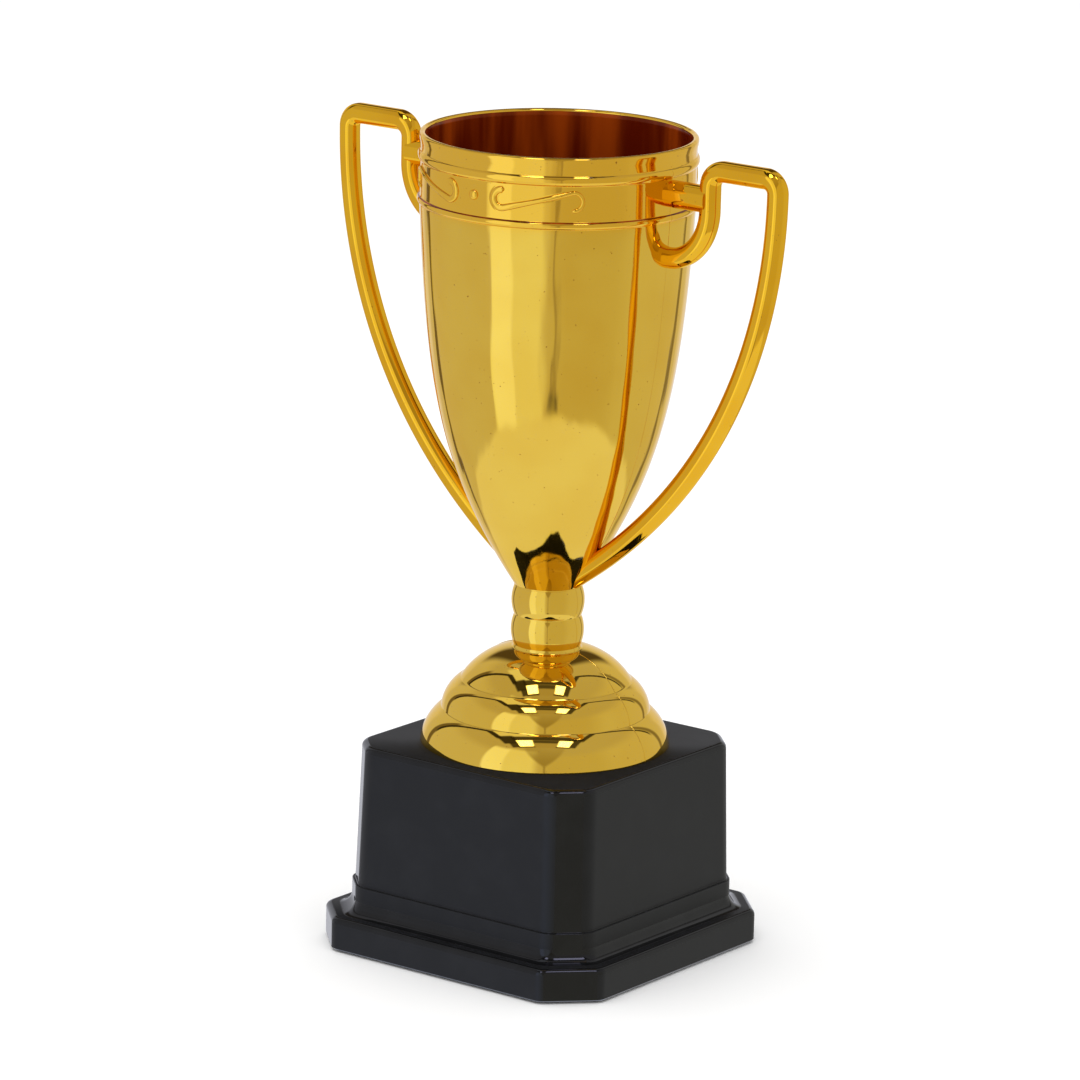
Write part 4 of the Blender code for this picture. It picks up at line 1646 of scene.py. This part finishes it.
@dataclass
class Studio:
    """Camera, pale floor and soft white surroundings."""

    azimuth: float = 36.775
    elevation: float = 14.155
    roll: float = 1.372
    distance: float = 1.4645
    target: float = 0.1015
    lens: float = 213.34
    sensor: float = 36.0
    left_shift: float = 0.00232
    down_shift: float = 0.00592
    floor_radius: float = 4.0
    floor_depth: float = 0.004
    floor_grey: float = 0.93
    lamp_place: tuple[float, float, float] = (-0.2, -0.2, 1.5)
    lamp_size: float = 1.6
    lamp_power: float = 9.0

    def _axes(self) -> tuple[Vector, Vector, Vector]:
        """The ways to the camera along the ground, to its right and from target to camera."""
        a, e = math.radians(self.azimuth), math.radians(self.elevation)
        front = Vector((math.sin(a), -math.cos(a), 0))
        right = Vector((math.cos(a), math.sin(a), 0))
        return front, right, front * math.cos(e) + Vector((0, 0, math.sin(e)))

    def _camera(self) -> None:
        """Places the camera."""
        _, right, back = self._axes()
        up = back.cross(right)
        rho = math.radians(self.roll)
        across = right * math.cos(rho) + up * math.sin(rho)
        upward = up * math.cos(rho) - right * math.sin(rho)
        data = bpy.data.cameras.new("camera")
        data.lens, data.sensor_width = self.lens, self.sensor
        data.clip_start, data.clip_end = 0.05, 20.0
        camera = bpy.data.objects.new("camera", data)
        bpy.context.scene.collection.objects.link(camera)
        place = Vector((0, 0, self.target)) + back * self.distance
        place -= across * self.left_shift + upward * self.down_shift
        turn = Matrix((across, upward, back)).transposed().to_4x4()
        camera.matrix_world = Matrix.Translation(place) @ turn
        bpy.context.scene.camera = camera

    def _floor(self) -> None:
        """A wide pale floor, lit to near white."""
        wide, deep = self.floor_radius, -self.floor_depth
        floor = revolved("floor", [(0.0, deep), (wide, deep), (wide, 0.0), (0.0, 0.0)], 96)
        made = bpy.data.materials.new("pale_floor")
        made.use_nodes = True
        graph = Graph(made.node_tree)
        colour = (self.floor_grey, self.floor_grey, self.floor_grey, 1.0)
        shader = graph.node("ShaderNodeBsdfDiffuse", None, {"Color": colour})
        out = graph.node("ShaderNodeOutputMaterial")
        graph.tree.links.new(shader.outputs[0], out.inputs["Surface"])
        floor.data.materials.append(made)
        floor.visible_glossy = False

    def _tent(self, graph: Graph) -> Signal:
        """What the gloss shows: a soft tent with a brighter side, its seams and its opening.

        Args:
            graph: The world's graph.

        Returns:
            The tent's glow by direction.
        """
        front, right, _ = self._axes()
        way = graph.take("ShaderNodeTexCoord", "Generated")

        def along(axis: Vector) -> Signal:
            """Share of the direction along an axis."""
            inputs = {0: way, 1: tuple(axis)}
            return graph.take("ShaderNodeVectorMath", "Value", {"operation": "DOT_PRODUCT"}, inputs)

        turn = graph.maths("ARCTAN2", along(right), along(front))
        rise = graph.maths("ARCSINE", along(Vector((0, 0, 1)))) * DEGREES
        glow = TENT_LEFT
        for (start, end), colour in TENT_TURNS:
            glow = graph.mix(graph.ramp(turn * DEGREES, start, end), glow, colour)
        for patch in WALLS:
            glow = patch.over(graph, glow, turn * DEGREES, rise)
        off_top = 90.0 - rise
        to_right = off_top * graph.maths("SINE", turn)
        to_front = off_top * graph.maths("COSINE", turn)
        reach = (OPENING_FOOT - off_top) * OPENING_SPREAD
        inside = graph.ramp(graph.maths("ABSOLUTE", turn) * DEGREES - reach, -3, 3, 1.0, 0.0)
        depth = graph.ramp(off_top, 25, 70, 0.35, 0.95)
        glow = graph.mix(inside * depth, glow, OPENING)
        for patch in CEILING:
            glow = patch.over(graph, glow, to_right, to_front)
        return glow

    def _world(self) -> None:
        """White surroundings, with the tent in their place for whatever the gloss shows."""
        world = bpy.data.worlds.new("studio")
        bpy.context.scene.world = world
        world.use_nodes = True
        graph = Graph(world.node_tree)
        white = {"Color": (1.0, 1.0, 1.0, 1.0), "Strength": 1.0}
        seen = graph.node("ShaderNodeBackground", None, white)
        inputs = {"Color": self._tent(graph), "Strength": 1.0}
        lit = graph.node("ShaderNodeBackground", None, inputs)
        mirrored = graph.take("ShaderNodeLightPath", "Is Glossy Ray")
        mixed = graph.node("ShaderNodeMixShader", None, {0: mirrored})
        graph.tree.links.new(seen.outputs[0], mixed.inputs[1])
        graph.tree.links.new(lit.outputs[0], mixed.inputs[2])
        out = graph.node("ShaderNodeOutputWorld")
        graph.tree.links.new(mixed.outputs[0], out.inputs["Surface"])

    def _overhead(self) -> None:
        """A wide soft light above, for the floor and the contact shadow."""
        data = bpy.data.lights.new("overhead", "AREA")
        data.shape, data.size, data.energy = "DISK", self.lamp_size, self.lamp_power
        lamp = bpy.data.objects.new("overhead", data)
        lamp.location = self.lamp_place
        lamp.visible_glossy = False
        lamp.visible_camera = False
        bpy.context.scene.collection.objects.link(lamp)

    def build(self) -> None:
        """Sets up the whole studio."""
        self._camera()
        self._floor()
        self._world()
        self._overhead()
        bpy.context.scene.view_settings.view_transform = "Standard"
        LOG.info("studio set")


def main() -> None:
    """Builds the trophy's pieces in order, then the studio."""
    logging.basicConfig(level=logging.INFO, format="%(name)s %(message)s")
    bowl = Bowl()
    bowl.build()
    for side in ("right", "left"):
        Handle(bowl, side).build()
    foot = Foot()
    foot.build()
    PartingLine(bowl.outside(), "bowl_parting").build()
    PartingLine(foot.outside()[1:], "foot_parting", 0.00020, 0.00009).build()
    Plinth().build()
    Fastenings().build()
    dress_packed_nodes()
    Studio().build()


if __name__ == "__main__":
    main()
